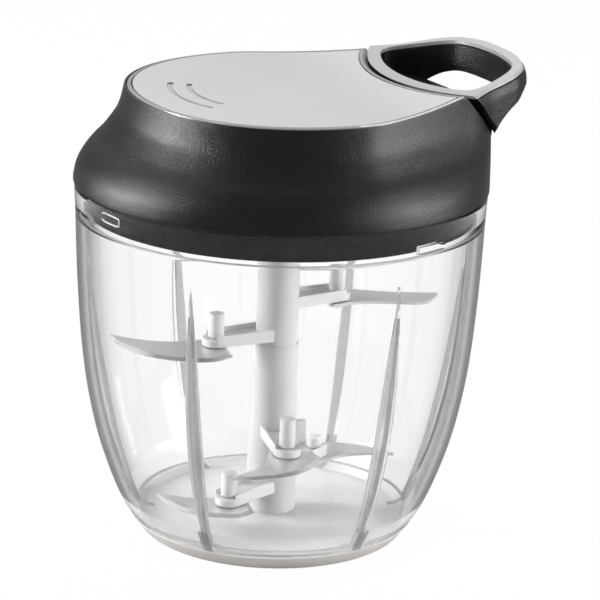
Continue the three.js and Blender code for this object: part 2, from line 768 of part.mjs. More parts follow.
function upperShaft() {
  const bottom = shaftSplitHeight + runningGap;
  const chamfer = runningGap;
  const body = turned([
    [0, bottom], [upperShaftRadius, bottom], [upperShaftRadius, upperShaftTop - chamfer],
    [upperShaftRadius - chamfer, upperShaftTop], [0, upperShaftTop],
  ], hubSteps);
  const peg = hexRod(shaftPegHalfWidth, bottom - shaftPegLength, bottom + shaftPegLength);
  const head = hexRod(driveHeadHalfWidth, upperShaftTop - shaftPegLength, driveHeadTop);
  return body.add(shaftArms(true)).add(peg).add(head);
}

// A sickle of sheet steel with its cutting edge ground on the upper side
function blade(arm) {
  const size = bladeReach * arm.sizeShare;
  const peg = new THREE.Vector2(pegReach, 0);
  const back = -THREE.MathUtils.degToRad(arm.backDegrees);
  const outline = arm.pattern.map(([x, y]) => new THREE.Vector2(x * size, y * size).rotateAround(peg, back));
  outline.reverse();
  const reaches = arm.pattern.map(([x, y]) => Math.hypot(x, y));
  const tip = outline.length - 1 - reaches.indexOf(Math.max(...reaches));
  const ground = inset(outline, bladeBevel);
  const top = outline.map((point, i) => (i < tip ? point : ground[i]));
  const high = armUnderside(arm) - runningGap;
  const low = high - bladeThickness;
  const bevelStart = high - bladeThickness * bladeBevelShare;
  const sheet = lofted([raised(outline, low), raised(outline, bevelStart), raised(top, high)]);
  const hole = disc(pegStemRadius + runningGap, low - overrun, high + overrun, smallSteps);
  const pierced = sheet.subtract(hole.translate([pegReach, 0, 0]));
  return turnedBy(pierced, THREE.MathUtils.degToRad(arm.degrees));
}

// The peg that locks a blade under its arm, with its grip above
function bladePeg(arm) {
  const floorTop = armUnderside(arm) + armThickness + runningGap;
  const headTop = armUnderside(arm) - bladeThickness - 2 * runningGap;
  const top = floorTop + pegHeight * arm.gripShare;
  const round = pegRadius / 4;
  let peg = turned([
    [0, headTop - pegHeadHeight], [pegHeadRadius, headTop - pegHeadHeight], [pegHeadRadius, headTop],
    [pegStemRadius, headTop], [pegStemRadius, floorTop], [pegRadius, floorTop],
    [pegRadius, top - round], [pegRadius - round, top], [0, top],
  ], smallSteps);
  if (arm.finShare > 0) {
    const reach = pegFinReach * arm.finShare;
    const low = floorTop + armRailHeight + runningGap;
    peg = peg.add(block(pegFinThickness, reach, top - round - low, 0, reach / 2, (top - round + low) / 2));
  }
  return turnedBy(peg.translate([pegReach, 0, 0]), THREE.MathUtils.degToRad(arm.degrees));
}

function screwPlaces() {
  return Array.from({ length: screwCount }, (_, i) => {
    const angle = fullTurn * (i + 0.5) / screwCount;
    return [screwCircleRadius * Math.cos(angle), screwCircleRadius * Math.sin(angle), 0];
  });
}

function lidShell() {
  const rim = bowlHeight + lidRimGap;
  const recess = prism(inset(lidOutline(), lidLipInset), bowlHeight, crownHeight + overrun)
    .intersect(topBand(-deckDrop, overrun));
  const outer = lidForm(0, rim)
    .intersect(topBand(-bowlHeight, -lidLipDrop))
    .subtract(recess)
    .subtract(seatPocket(0, 0));
  const seatBack = -seatWall * Math.hypot(1, seatLeanShare);
  const hollow = lidForm(lidWall, rim - overrun)
    .intersect(topBand(-bowlHeight, -deckDrop - lidDeckThickness))
    .subtract(seatPocket(seatBack, seatWall));
  const ceiling = crownHeight - deckDrop - lidDeckThickness / 2;
  const bossBottom = coverFloorTop + runningGap;
  const pilotTop = bossBottom + screwLength;
  const eyeletBossEnd = eyeletInnerEnd + 2 * eyeletBossRadius + seatWall;
  let bosses = disc(axleBossRadius, axleBossBottom, ceiling, smallSteps)
    .add(rodAlongX(eyeletBossRadius, eyeletInnerEnd, eyeletBossEnd, cordHeight));
  let holes = disc(axleRadius + runningGap, 0, axleTop + runningGap, smallSteps)
    .add(rodAlongX(eyeletRadius + runningGap, 0, seatTopX + overrun, cordHeight))
    .add(rodAlongX(eyeletFlangeRadius + runningGap, eyeletFlangeX, knotPocketEnd, cordHeight));
  for (const place of screwPlaces()) {
    bosses = bosses.add(disc(screwBossRadius, bossBottom, ceiling, smallSteps).translate(place));
    holes = holes.add(disc(screwRadius + runningGap, 0, pilotTop, smallSteps).translate(place));
  }
  return outer.subtract(hollow).add(bosses.intersect(outer)).subtract(holes);
}

// The silver field of the lid top, at a margin in from the lid's edge
function plateField(margin) {
  return prism(inset(lidOutline(), lidLipInset + runningGap + margin), bowlHeight, crownHeight + overrun)
    .subtract(seatPocket(-margin, 0));
}

function trimRing() {
  const outline = inset(lidOutline(), lidLipInset + runningGap);
  const sloped = inset(outline, trimBevel);
  const edge = (points, offset) => points.map((point, i) => (
    new THREE.Vector3(point.x, point.y, topHeight(outline[i].x) + offset)));
  const bevelled = lofted([
    edge(outline, -2 * plateThickness), edge(outline, -trimBevel),
    edge(sloped, 0), edge(sloped, overrun),
  ]);
  return bevelled
    .subtract(seatPocket(0, 0))
    .subtract(plateField(trimWidth))
    .intersect(topBand(-plateThickness, 0));
}

function grooveCutter(radius, halfAngle) {
  const steps = 12;
  const edge = (distance, sign) => Array.from({ length: steps + 1 }, (_, i) => {
    const angle = Math.PI + sign * halfAngle * (2 * i / steps - 1);
    return new THREE.Vector2(grooveCentreX + distance * Math.cos(angle), distance * Math.sin(angle));
  });
  const outline = [...edge(radius + grooveWidth / 2, 1), ...edge(radius - grooveWidth / 2, -1)];
  return prism(outline, bowlHeight, crownHeight + overrun);
}

function topPlate() {
  let plate = plateField(trimWidth + plateGap).intersect(topBand(-plateThickness, 0));
  const deep = topBand(-grooveDepth, overrun);
  for (const groove of grooves) {
    plate = plate.subtract(grooveCutter(groove.radius, groove.angleShare).intersect(deep));
  }
  return plate;
}

function innerCover() {
  const inner = coverSkirtRadius - coverWall;
  const edge = coverWall / 4;
  const ring = turnedRing([
    [coverHoleRadius, coverFloorHeight], [inner, coverFloorHeight],
    [inner, coverSkirtBottom], [coverSkirtRadius - edge, coverSkirtBottom],
    [coverSkirtRadius, coverSkirtBottom + edge], [coverSkirtRadius, coverFlangeHeight],
    [coverFlangeRadius, coverFlangeHeight],
    [coverFlangeRadius, coverFlangeHeight + coverFlangeThickness],
    [inner, coverFlangeHeight + coverFlangeThickness], [inner, coverFloorTop],
    [coverHoleRadius, coverFloorTop],
  ]);
  const notch = sectorBlock(
    inner - overrun / 10, coverSkirtRadius + overrun / 10, lugHalfAngle,
    coverSkirtBottom - overrun, coverSkirtBottom + lugHeight,
  );
  let holes = repeated(notch, lugCount, firstLugAngle);
  for (const place of screwPlaces()) {
    holes = holes.add(disc(screwRadius + runningGap, 0, crownHeight, smallSteps).translate(place));
  }
  return ring.subtract(holes);
}

function coverScrew(place) {
  const headTop = coverFloorHeight - runningGap;
  const headBottom = headTop - screwHeadHeight;
  const tip = headTop + coverFloorThickness + screwLength - screwRadius;
  const body = turned([
    [0, headBottom], [screwHeadRadius - runningGap, headBottom], [screwHeadRadius, headBottom + runningGap],
    [screwHeadRadius, headTop], [screwRadius, headTop], [screwRadius, tip - screwRadius], [0, tip],
  ], smallSteps);
  const slot = block(2 * screwHeadRadius + overrun, screwSlotWidth, 2 * screwSlotDepth, 0, 0, headBottom);
  return body.subtract(slot).translate(place);
}

function axle() {
  const groove = axleRadius - clipGrooveDepth;
  const low = clipHeight - runningGap;
  const high = clipHeight + clipThickness + runningGap;
  return turned([
    [0, axleBottom], [axleRadius, axleBottom], [axleRadius, low], [groove, low],
    [groove, high], [axleRadius, high], [axleRadius, axleTop], [0, axleTop],
  ], smallSteps);
}

function retainingClip() {
  const inner = axleRadius - clipGrooveDepth + runningGap;
  const ring = turnedRing([
    [inner, clipHeight], [clipRadius, clipHeight],
    [clipRadius, clipHeight + clipThickness], [inner, clipHeight + clipThickness],
  ], smallSteps);
  const mouth = block(clipRadius, inner, overrun, clipRadius, 0, clipHeight);
  return ring.subtract(mouth);
}

function washer() {
  const top = socketTop - socketWeb - runningGap;
  const inner = axleRadius + runningGap;
  return turnedRing([
    [inner, top - washerThickness], [washerRadius, top - washerThickness],
    [washerRadius, top], [inner, top],
  ], smallSteps);
}

function dogs(start, width, reach, height) {
  const side = (sign) => {
    return block(reach - start, width, height, sign * (reach + start) / 2, 0, socketTop + height / 2);
  };
  return side(1).add(side(-1));
}

function cordDrum() {
  const bore = axleRadius + runningGap;
  const core = windingRadius - cordRadius - 2 * runningGap;
  const flangeTop = drumGrooveTop + drumFlangeThickness;
  const pocketTop = drumFoot + drumPocketDepth;
  const body = turnedRing([
    [bore, drumHubBottom], [drumHubRadius, drumHubBottom],
    [drumHubRadius, pocketTop],
    [core - drumWeb, pocketTop], [core - drumWeb, drumFoot],
    [drumFlangeRadius, drumFoot], [drumFlangeRadius, drumGrooveBottom],
    [core, drumGrooveBottom], [core, drumGrooveTop], [drumFlangeRadius, drumGrooveTop],
    [drumFlangeRadius, flangeTop], [drumHubRadius, flangeTop],
    [drumHubRadius, drumTop], [bore, drumTop],
  ], hubSteps);
  const slots = dogs(axleRadius, dogWidth + 2 * runningGap, dogReach + runningGap, dogHeight + 2 * runningGap);
  return body.subtract(slots);
}

function driveSocket() {
  const body = turned([
    [0, socketBottom], [socketRadius - runningGap, socketBottom],
    [socketRadius, socketBottom + runningGap], [socketRadius, socketTop], [0, socketTop],
  ], hubSteps);
  const hexBore = hexRod(driveHeadHalfWidth + runningGap, socketBottom - overrun, socketTop - socketWeb);
  const axleBore = disc(axleRadius + runningGap, 0, crownHeight, smallSteps);
  const key = dogs(axleRadius + 3 * runningGap, dogWidth, dogReach, dogHeight);
  return body.add(key).subtract(hexBore).subtract(axleBore);
}

// A round cord through points that lie nearly level, mitred where it bends
function tubeAlong(points, radius, sides) {
  const up = new THREE.Vector3(0, 0, 1);
  const rings = points.map((point, i) => {
    const next = points[Math.min(i + 1, points.length - 1)];
    const previous = points[Math.max(i - 1, 0)];
    const along = new THREE.Vector3().subVectors(next, previous).normalize();
    const arriving = i > 0 ? new THREE.Vector3().subVectors(point, previous).normalize() : along;
    const sideways = new THREE.Vector3().crossVectors(along, up).normalize();
    const upward = new THREE.Vector3().crossVectors(sideways, along);
    return Array.from({ length: sides }, (_, k) => {
      const angle = fullTurn * (k + 0.5) / sides;
      return point.clone()
        .addScaledVector(sideways, radius * Math.cos(angle) / along.dot(arriving))
        .addScaledVector(upward, radius * Math.sin(angle));
    });
  });
  return lofted(rings, true);
}

const tangentAngle = -Math.acos(windingRadius / cordBendX);

function windingPoint(turns) {
  const angle = tangentAngle + fullTurn * turns;
  return new THREE.Vector3(
    windingRadius * Math.cos(angle),
    windingRadius * Math.sin(angle),
    windingBottom + windingPitch * (windingTurns + turns),
  );
}

function windingPoints() {
  const count = Math.round(windingTurns * windingStepsPerTurn);
  return Array.from({ length: count }, (_, i) => windingPoint((i - count) / windingStepsPerTurn));
}

// The least gap between turns that lie next to each other
function leastWindingGap(points) {
  let least = Infinity;
  points.forEach((point, i) => {
    for (let j = i + windingStepsPerTurn / 2; j < points.length; j += 1) {
      least = Math.min(least, point.distanceTo(points[j]) - 2 * cordRadius);
    }
  });
  return least;
}

function woundCord() {
  const points = windingPoints();
  console.log(`least gap between the cord's turns: ${leastWindingGap(points).toFixed(2)} mm`);
  return tubeAlong(points, cordRadius, 6);
}

// The cord from the drum through the eyelet to the handle, with the drum's side
// tangent to the last turn
function cordRun() {
  const start = windingPoint(0);
  const away = new THREE.Vector3(-Math.sin(tangentAngle), Math.cos(tangentAngle), 0);
  const bend = new THREE.Vector3(cordBendX, 0, cordHeight);
  const straight = start.distanceTo(bend);
  const knot = new THREE.Vector3(knotX - knotRadius - runningGap, 0, cordHeight);
  const shares = [0, 0.3, 0.6, 0.85];
  const inside = shares.map((share) => start.clone().addScaledVector(away, share * straight)
    .setZ(start.z + (cordHeight - start.z) * share));
  const points = [...inside, bend, new THREE.Vector3((bend.x + knot.x) / 2, 0, cordHeight), knot];
  return tubeAlong(points, cordRadius, 8);
}

function cordKnot() {
  const ball = solid(new THREE.SphereGeometry(knotRadius, smallSteps, smallSteps / 2));
  return ball.translate([knotX, 0, cordHeight]);
}

function returnSpring() {
  const count = springTurns * springStepsPerTurn;
  const side = (extra) => Array.from({ length: count + 1 }, (_, i) => {
    const angle = fullTurn * i / springStepsPerTurn;
    const radius = springInnerRadius + (springOuterRadius - springInnerRadius) * i / count + extra;
    return new THREE.Vector2(radius * Math.cos(angle), radius * Math.sin(angle));
  });
  const outline = [...side(springStrip / 2), ...side(-springStrip / 2).reverse()];
  return prism(outline, springBottom, springTop);
}

function springCup() {
  const floorTop = cupBottom + cupFloorThickness;
  return turnedRing([
    [cupHoleRadius, cupBottom], [cupRadius, cupBottom], [cupRadius, cupTop],
    [cupRadius - cupWall, cupTop], [cupRadius - cupWall, floorTop], [cupHoleRadius, floorTop],
  ], hubSteps);
}

function springCap() {
  const low = cupTop + runningGap;
  const high = low + capThickness;
  return turnedRing([
    [cupHoleRadius, low], [cupRadius, low], [cupRadius, high], [cupHoleRadius, high],
  ], hubSteps);
}

function cordEyelet() {
  const flangeStart = eyeletFlangeX + runningGap;
  const body = rodAlongX(eyeletRadius, eyeletInnerEnd, flangeStart + eyeletFlangeThickness, cordHeight)
    .add(rodAlongX(eyeletFlangeRadius, flangeStart, flangeStart + eyeletFlangeThickness, cordHeight));
  return body.subtract(rodAlongX(eyeletBore, 0, handleReach, cordHeight));
}

function handleOutline() {
  const half = handleSideShares.map(([x, y]) => new THREE.Vector2(x * handleReach, y * handleReach));
  const lower = half.map((point) => new THREE.Vector3(point.x, -point.y, 0));
  const upper = half.slice(0, -1).reverse().map((point) => new THREE.Vector3(point.x, point.y, 0));
  const curve = new THREE.CatmullRomCurve3([...lower, ...upper], false, 'centripetal');
  const nose = curve.getPoints(2 * sweepSteps).map((point) => new THREE.Vector2(point.x, point.y));
  const back = seatTopX - overrun;
  return [new THREE.Vector2(back, nose[0].y), ...nose, new THREE.Vector2(back, nose.at(-1).y)];
}

function fingerHoleOutline(margin) {
  const length = holeEndX - holeStartX;
  const half = holeSideShares.map(([x, y]) => new THREE.Vector2(holeStartX + x * length, y * holeHalfWidth));
  return inset(mirrored(half, holeSteps), -margin);
}

// Everything above the handle's concave underside, which grows out of the lid
function aboveUnderside() {
  const low = seatLedgeHeight + runningGap;
  const sweep = undersideShares.map(([outShare, upShare]) => [
    undersideRadius + undersideSpread * outShare, low + undersideRise * upShare,
  ]);
  const high = crownHeight + overrun;
  const wide = handleReach + overrun;
  return turned([[0, low], ...sweep, [wide, sweep.at(-1)[1] + undersideRise], [wide, high], [0, high]]);
}

// Everything between the handle's flat face and its own slope down to the lid's edge
function fingerHole() {
  const through = lofted([
    raised(fingerHoleOutline(holeDraftShare * overrun), crownHeight - overrun),
    raised(fingerHoleOutline(0), crownHeight), raised(fingerHoleOutline(0), crownHeight + overrun),
  ]);
  const startHeight = topHeight(holeStartX) - scoopDrop;
  const slope = [
    new THREE.Vector2(holeStartX - overrun, startHeight + scoopDrop / 2),
    new THREE.Vector2(holeStartX + scoopDrop / 2, startHeight + scoopDrop / 2),
    new THREE.Vector2(holeStartX + scoopDrop, startHeight),
    new THREE.Vector2(scoopEndRadius, scoopEndHeight),
    new THREE.Vector2(scoopEndRadius + overrun, scoopEndHeight - overrun / 3),
    new THREE.Vector2(holeStartX - overrun, scoopEndHeight - overrun),
  ];
  const side = (y) => slope.map((point) => new THREE.Vector3(point.x, point.y, y));
  const scoop = lofted([side(-seatHalfSpan), side(seatHalfSpan)]).rotate([90, 0, 0]);
  const lidSide = disc(scoopEndRadius, 0, crownHeight + overrun, mainSteps);
  return through.subtract(scoop.intersect(lidSide));
}

function handleForm(topOffset, margin) {
  const outline = handleOutline();
  const ring = (flare, depth) => inset(outline, margin - flare).map((point, i) => (
    new THREE.Vector3(point.x, point.y, topHeight(outline[i].x) - depth)));
  return lofted([
    ring(handleFlare, overrun + overrun / 2), ring(handleFlare, handleFlareDepth),
    ring(handleFlare / 2, handleFlareDepth / 3), ring(0, 0), ring(0, -overrun),
  ]).intersect(topBand(-bowlHeight, topOffset));
}

function handleBody() {
  const bodyTop = -inlayThickness - runningGap;
  const bore = rodAlongX(cordRadius + 2 * runningGap, 0, knotX, cordHeight)
    .add(rodAlongX(knotPocketRadius, knotPocketStart, knotPocketEnd, cordHeight));
  return handleForm(bodyTop, 0)
    .intersect(seatPocket(handleGap, 0))
    .intersect(aboveUnderside())
    .subtract(fingerHole())
    .subtract(bore);
}

function handleInlay() {
  const hole = prism(fingerHoleOutline(inlayMargin), bowlHeight, crownHeight + overrun);
  return handleForm(0, inlayMargin)
    .intersect(topBand(-inlayThickness, 0))
    .intersect(seatPocket(handleGap + inlayMargin, 0))
    .subtract(hole);
}

const chopper = new THREE.Group();

function place(name, shape, finish) {
  const mesh = new THREE.Mesh(geometryOf(shape), new THREE.MeshStandardMaterial(finishes[finish]));
  mesh.name = name;
  chopper.add(mesh);
}

place('bowl', bowl(), 'clear');
place('base_pad', basePad(), 'pad');
place('pivot_pin', pivotPin(), 'steel');

place('lower_shaft', lowerShaft(), 'white');
place('upper_shaft', upperShaft(), 'white');
arms.forEach((arm, i) => {
  place(`blade_${i + 1}`, blade(arm), 'steel');
  place(`blade_peg_${i + 1}`, bladePeg(arm), 'white');
});

place('lid_shell', lidShell(), 'black');
place('trim_ring', trimRing(), 'silver');
place('top_plate', topPlate(), 'silver');
place('inner_cover', innerCover(), 'band');
screwPlaces().forEach((spot, i) => place(`cover_screw_${i + 1}`, coverScrew(spot), 'steel'));
place('axle', axle(), 'steel');
place('retaining_clip', retainingClip(), 'steel');
place('axle_washer', washer(), 'steel');
place('spring_cup', springCup(), 'white');
place('spring_cap', springCap(), 'white');
place('return_spring', returnSpring(), 'steel');
place('cord_eyelet', cordEyelet(), 'nylon');

place('cord_drum', cordDrum(), 'white');
place('drive_socket', driveSocket(), 'white');
place('wound_cord', woundCord(), 'cord');

place('handle_body', handleBody(), 'black');
place('handle_inlay', handleInlay(), 'silver');
place('pull_cord', cordRun(), 'cord');
place('cord_knot', cordKnot(), 'cord');

export default chopper;
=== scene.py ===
import math

import bmesh
import bpy
import numpy as np
from mathutils import Matrix, Quaternion, Vector


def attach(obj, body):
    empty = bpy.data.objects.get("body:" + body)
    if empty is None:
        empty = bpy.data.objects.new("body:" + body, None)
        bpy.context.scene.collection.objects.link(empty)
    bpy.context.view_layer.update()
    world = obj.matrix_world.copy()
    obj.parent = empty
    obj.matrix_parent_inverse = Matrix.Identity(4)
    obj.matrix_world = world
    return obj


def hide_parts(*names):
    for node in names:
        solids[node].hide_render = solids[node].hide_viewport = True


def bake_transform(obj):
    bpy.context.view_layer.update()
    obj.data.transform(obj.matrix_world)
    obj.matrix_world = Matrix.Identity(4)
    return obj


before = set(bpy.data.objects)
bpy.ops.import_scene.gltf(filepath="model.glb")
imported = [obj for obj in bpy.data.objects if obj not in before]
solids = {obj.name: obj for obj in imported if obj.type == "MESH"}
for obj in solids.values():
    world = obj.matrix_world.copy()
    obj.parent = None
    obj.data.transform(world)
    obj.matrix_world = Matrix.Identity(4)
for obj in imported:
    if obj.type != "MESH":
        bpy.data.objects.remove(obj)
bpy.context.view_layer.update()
print("frame loaded with", len(solids), "solids")

mm = 0.001
turn = 2 * math.pi

# the photograph's viewpoint, in millimetres and degrees
shot = {
    "target": (6.67, -2.97, 77.1), "azimuth": -24.0, "elevation": 17.23, "roll": 1.94, "distance": 900,
    "lens": 164.6, "sensor": 36, "nearest": 50,
}


def makeCamera():
    around, above = math.radians(shot["azimuth"]), math.radians(shot["elevation"])
    back = Vector((math.sin(around) * math.cos(above), -math.cos(around) * math.cos(above), math.sin(above)))
    data = bpy.data.cameras.new("camera")
    data.lens = shot["lens"]
    data.sensor_width = shot["sensor"]
    data.clip_start = shot["nearest"] * mm
    camera = bpy.data.objects.new("camera", data)
    bpy.context.scene.collection.objects.link(camera)
    camera.location = (Vector(shot["target"]) + back * shot["distance"]) * mm
    camera.rotation_mode = "QUATERNION"
    level = (-back).to_track_quat("-Z", "Y")
    camera.rotation_quaternion = level @ Quaternion((0, 0, 1), math.radians(shot["roll"]))
    bpy.context.scene.camera = camera


makeCamera()


class Wire:  # one socket of a material, with the maths that the finishes use
    def __init__(self, finish, socket):
        self.finish, self.socket = finish, socket

    def math(self, operation, a, b):
        return self.finish.node("ShaderNodeMath", {"operation": operation}, {0: a, 1: b})

    def __add__(self, other):
        return self.math("ADD", self, other)

    def __radd__(self, other):
        return self.math("ADD", other, self)

    def __sub__(self, other):
        return self.math("SUBTRACT", self, other)

    def __rsub__(self, other):
        return self.math("SUBTRACT", other, self)

    def __mul__(self, other):
        return self.math("MULTIPLY", self, other)

    def __rmul__(self, other):
        return self.math("MULTIPLY", other, self)


class Finish:  # a material, or the world, and its nodes
    def __init__(self, name, owner=None):
        self.owner = owner or bpy.data.materials.new(name)
        self.owner.use_nodes = True
        self.tree = self.owner.node_tree
        self.tree.nodes.clear()

    def node(self, kind, settings=None, values=None, out=0):
        made = self.tree.nodes.new(kind)
        for key, value in (settings or {}).items():
            if key == "stops":
                ramp = made.color_ramp
                while len(ramp.elements) < len(value):
                    ramp.elements.new(0.5)
                for element, (place, colour) in zip(ramp.elements, value):
                    element.position = place
                    element.color = (*colour, 1) if len(colour) == 3 else colour
            else:
                setattr(made, key, value)
        for key, value in (values or {}).items():
            socket = made.inputs[key]
            if isinstance(value, Wire):
                self.tree.links.new(value.socket, socket)
            else:
                socket.default_value = value
        return Wire(self, made.outputs[out])

    def place(self):
        return self.node("ShaderNodeTexCoord", out="Object")

    def stretched(self, x, y, z):
        return self.node("ShaderNodeMapping", {}, {"Vector": self.place(), "Scale": (x, y, z)})

    def noise(self, scale, detail=2.0, vector=None, rough=0.5):
        values = {"Vector": vector or self.place(), "Scale": scale, "Detail": detail, "Roughness": rough}
        return self.node("ShaderNodeTexNoise", {}, values, "Fac")

    def ramp(self, factor, stops):
        return self.node("ShaderNodeValToRGB", {"stops": stops}, {"Fac": factor}, "Color")

    def shades(self, factor, low, high, edge=0.3):  # from one colour to another as the factor grows
        return self.ramp(factor, [(edge, low), (1 - edge, high)])

    def between(self, low, high, factor):  # a number that runs from low to high with the factor
        return low + (high - low) * factor

    def bump(self, height, strength, depth):
        return self.node("ShaderNodeBump", {}, {"Height": height, "Strength": strength, "Distance": depth})

    def mix(self, factor, first, second):
        return self.node("ShaderNodeMixShader", {}, {0: factor, 1: first, 2: second})

    def principled(self, values):
        return self.node("ShaderNodeBsdfPrincipled", {}, values, "BSDF")

    def show(self, shader, kind="ShaderNodeOutputMaterial"):
        made = self.tree.nodes.new(kind)
        self.tree.links.new(shader.socket, made.inputs["Surface"])
        return self.owner


def grey(level, warmth=0.0):
    return (level * (1 + warmth), level, level * (1 - warmth), 1)


def tinted(level, blue):  # a grey with its blue scaled
    return (level, level, level * blue)


def seenBy(finish, camera, glossy, clear, rest):  # what the camera, gloss, clear plastic and all else get
    rays = ("Is Camera Ray", "Is Glossy Ray", "Is Transmission Ray")
    seen, gloss, through = [finish.node("ShaderNodeLightPath", out=ray) for ray in rays]
    mirrored = gloss * (1 - through)
    return rest + seen * (camera - rest) + mirrored * (glossy - rest) + through * (clear - rest)


# the room, the paper under the chopper and three soft boxes, in metres and watts
studio = {
    "room": {"camera": 1.0, "glossy": 0.2, "clear": 0.6, "rest": 0.34},
    "paper": {"camera": 0.97, "glossy": 0.9, "clear": 0.95, "rest": 0.0},
    "glow": {"camera": 1.0, "glossy": 0.2, "clear": 1.05, "rest": 0.0},
    "paperGrey": 0.86, "paperSize": 6.0, "paperDrop": 0.0002, "aim": (0, 0, 0.09),
    "lamps": [
        {"name": "leftBox", "place": (-0.90, 0.44, 0.35), "size": (0.2, 0.34), "power": 8.5},
        {"name": "rightBox", "place": (0.83, -0.56, 0.28), "size": (0.26, 0.32), "power": 5.5},
        {"name": "topBox", "place": (0.25, 0.45, 0.95), "size": (1.6, 1.2), "power": 8.0},
    ],
}


def makeLamp(lamp):
    light = bpy.data.lights.new(lamp["name"], "AREA")
    light.shape = "RECTANGLE"
    light.size, light.size_y = lamp["size"]
    light.energy = lamp["power"]
    holder = bpy.data.objects.new(lamp["name"], light)
    bpy.context.scene.collection.objects.link(holder)
    holder.location = lamp["place"]
    toChopper = Vector(studio["aim"]) - Vector(lamp["place"])
    holder.rotation_euler = toChopper.to_track_quat("-Z", "Y").to_euler()


def makeStudio():
    world = bpy.data.worlds.new("studio")
    bpy.context.scene.world = world
    air = Finish("studio", world)
    level = seenBy(air, **studio["room"])
    air.show(air.node("ShaderNodeBackground", {}, {"Color": grey(1), "Strength": level}), "ShaderNodeOutputWorld")
    for lamp in studio["lamps"]:
        makeLamp(lamp)

    half = studio["paperSize"] / 2
    corners = [(-half, -half, 0), (half, -half, 0), (half, half, 0), (-half, half, 0)]
    mesh = bpy.data.meshes.new("floor")
    mesh.from_pydata(corners, [], [(0, 1, 2, 3)])
    floor = bpy.data.objects.new("floor", mesh)
    bpy.context.scene.collection.objects.link(floor)
    paper = Finish("floorPaper")
    matt = paper.node("ShaderNodeBsdfDiffuse", {}, {"Color": grey(studio["paperGrey"])})
    glow = paper.node("ShaderNodeEmission", {}, {"Color": grey(1), "Strength": seenBy(paper, **studio["glow"])})
    mesh.materials.append(paper.show(paper.mix(seenBy(paper, **studio["paper"]), matt, glow)))
    floor.location.z = -studio["paperDrop"]
    bpy.context.scene.view_settings.view_transform = "Standard"


makeStudio()
print("camera and studio ready")


def clearPlastic(name, stops, roughness, through, clear=1.0, bend=1.49):  # the stops run from facing to grazing; their grey is painted shade
    f = Finish(name)
    wave = f.bump(f.noise(scale=26, detail=1.0), strength=0.05, depth=0.0012)
    facing = f.node("ShaderNodeLayerWeight", {}, {"Blend": 0.5}, "Facing")
    body = f.principled({
        "Base Color": f.ramp(facing, [(place, tinted(level, blue=1)) for place, level in stops]),
        "Roughness": roughness, "IOR": bend, "Transmission Weight": clear, "Normal": wave,
    })
    thin = f.node("ShaderNodeBsdfTransparent", {}, {"Color": grey(through)})  # for shadow rays only
    return f.show(f.mix(f.node("ShaderNodeLightPath", out="Is Shadow Ray"), body, thin))


def frostedPlastic():
    f = Finish("frostedPlastic")
    patch = f.noise(scale=400)
    return f.show(f.principled({
        "Base Color": grey(0.5), "Roughness": f.between(0.3, 0.45, patch), "IOR": 1.49, "Transmission Weight": 0.3,
    }))


def grainedBlack():
    f = Finish("grainedBlack")
    grain = f.noise(scale=2300, detail=3.0, rough=0.6)
    patch = f.noise(scale=30)
    return f.show(f.principled({
        "Base Color": f.shades(patch, low=(0.0042, 0.0042, 0.0046), high=(0.0058, 0.0058, 0.0063)),
        "Roughness": f.between(0.25, 0.35, grain), "Specular IOR Level": 0.65,
        "Normal": f.bump(grain, strength=1.0, depth=0.00016),
    }))


def bandPlastic():
    f = Finish("bandPlastic")
    patch = f.noise(scale=35)
    return f.show(f.principled({
        "Base Color": f.shades(patch, low=(0.008, 0.0085, 0.0098), high=(0.011, 0.0118, 0.0135)),
        "Roughness": f.between(0.22, 0.32, patch), "Specular IOR Level": 0.22,
    }))


def silver(name, level, roughness, metal=0.35):
    f = Finish(name)
    fine = f.noise(scale=2600)
    patch = f.noise(scale=14)
    return f.show(f.principled({
        "Base Color": f.shades(patch, tinted(level * 0.96, blue=1.01), tinted(level * 1.03, blue=1.01)),
        "Metallic": metal, "Roughness": f.between(roughness - 0.04, roughness + 0.05, fine),
        "Normal": f.bump(fine, strength=0.05, depth=0.0001),
    }))


def whitePlastic(name, level, roughness=0.4, glow=0.0):
    f = Finish(name)
    patch = f.noise(scale=40)
    low, high = level * 0.97, min(0.9, level * 1.02)
    return f.show(f.principled({
        "Base Color": f.shades(patch, tinted(low, blue=0.992), tinted(high, blue=0.992)),
        "Roughness": f.between(roughness - 0.05, roughness + 0.05, patch),
        "Subsurface Weight": glow, "Subsurface Radius": (0.004, 0.004, 0.004), "Subsurface Scale": 1.0,
        "Normal": f.bump(f.noise(scale=700), strength=0.05, depth=0.0002),
    }))


def steel(name, level, roughness, brushed=(900, 900, 900)):
    f = Finish(name)
    brush = f.noise(scale=1.0, detail=3.0, vector=f.stretched(*brushed), rough=0.6)
    return f.show(f.principled({
        "Base Color": f.shades(brush, tinted(level * 0.92, blue=1), tinted(level * 1.06, blue=1)), "Metallic": 0.6,
        "Roughness": f.between(roughness - 0.04, roughness + 0.05, brush),
        "Normal": f.bump(brush, strength=0.04, depth=0.0001),
    }))


def softPad(name, level, warmth):
    f = Finish(name)
    fine = f.noise(scale=1200)
    patch = f.noise(scale=25)
    return f.show(f.principled({
        "Base Color": f.shades(patch, grey(level * 0.97, warmth), grey(level * 1.03, warmth)),
        "Roughness": f.between(0.5, 0.62, fine), "Normal": f.bump(fine, strength=0.1, depth=0.0002),
    }))


def braid():
    f = Finish("braid")
    values = {"Vector": f.place(), "Scale": 900, "Distortion": 1.5}
    weave = f.node("ShaderNodeTexWave", {"bands_direction": "DIAGONAL"}, values, "Fac")
    return f.show(f.principled({
        "Base Color": f.shades(weave, low=(0.62, 0.62, 0.60), high=(0.82, 0.82, 0.80), edge=0.2), "Roughness": 0.8,
        "Normal": f.bump(weave, strength=0.5, depth=0.0002),
    }))
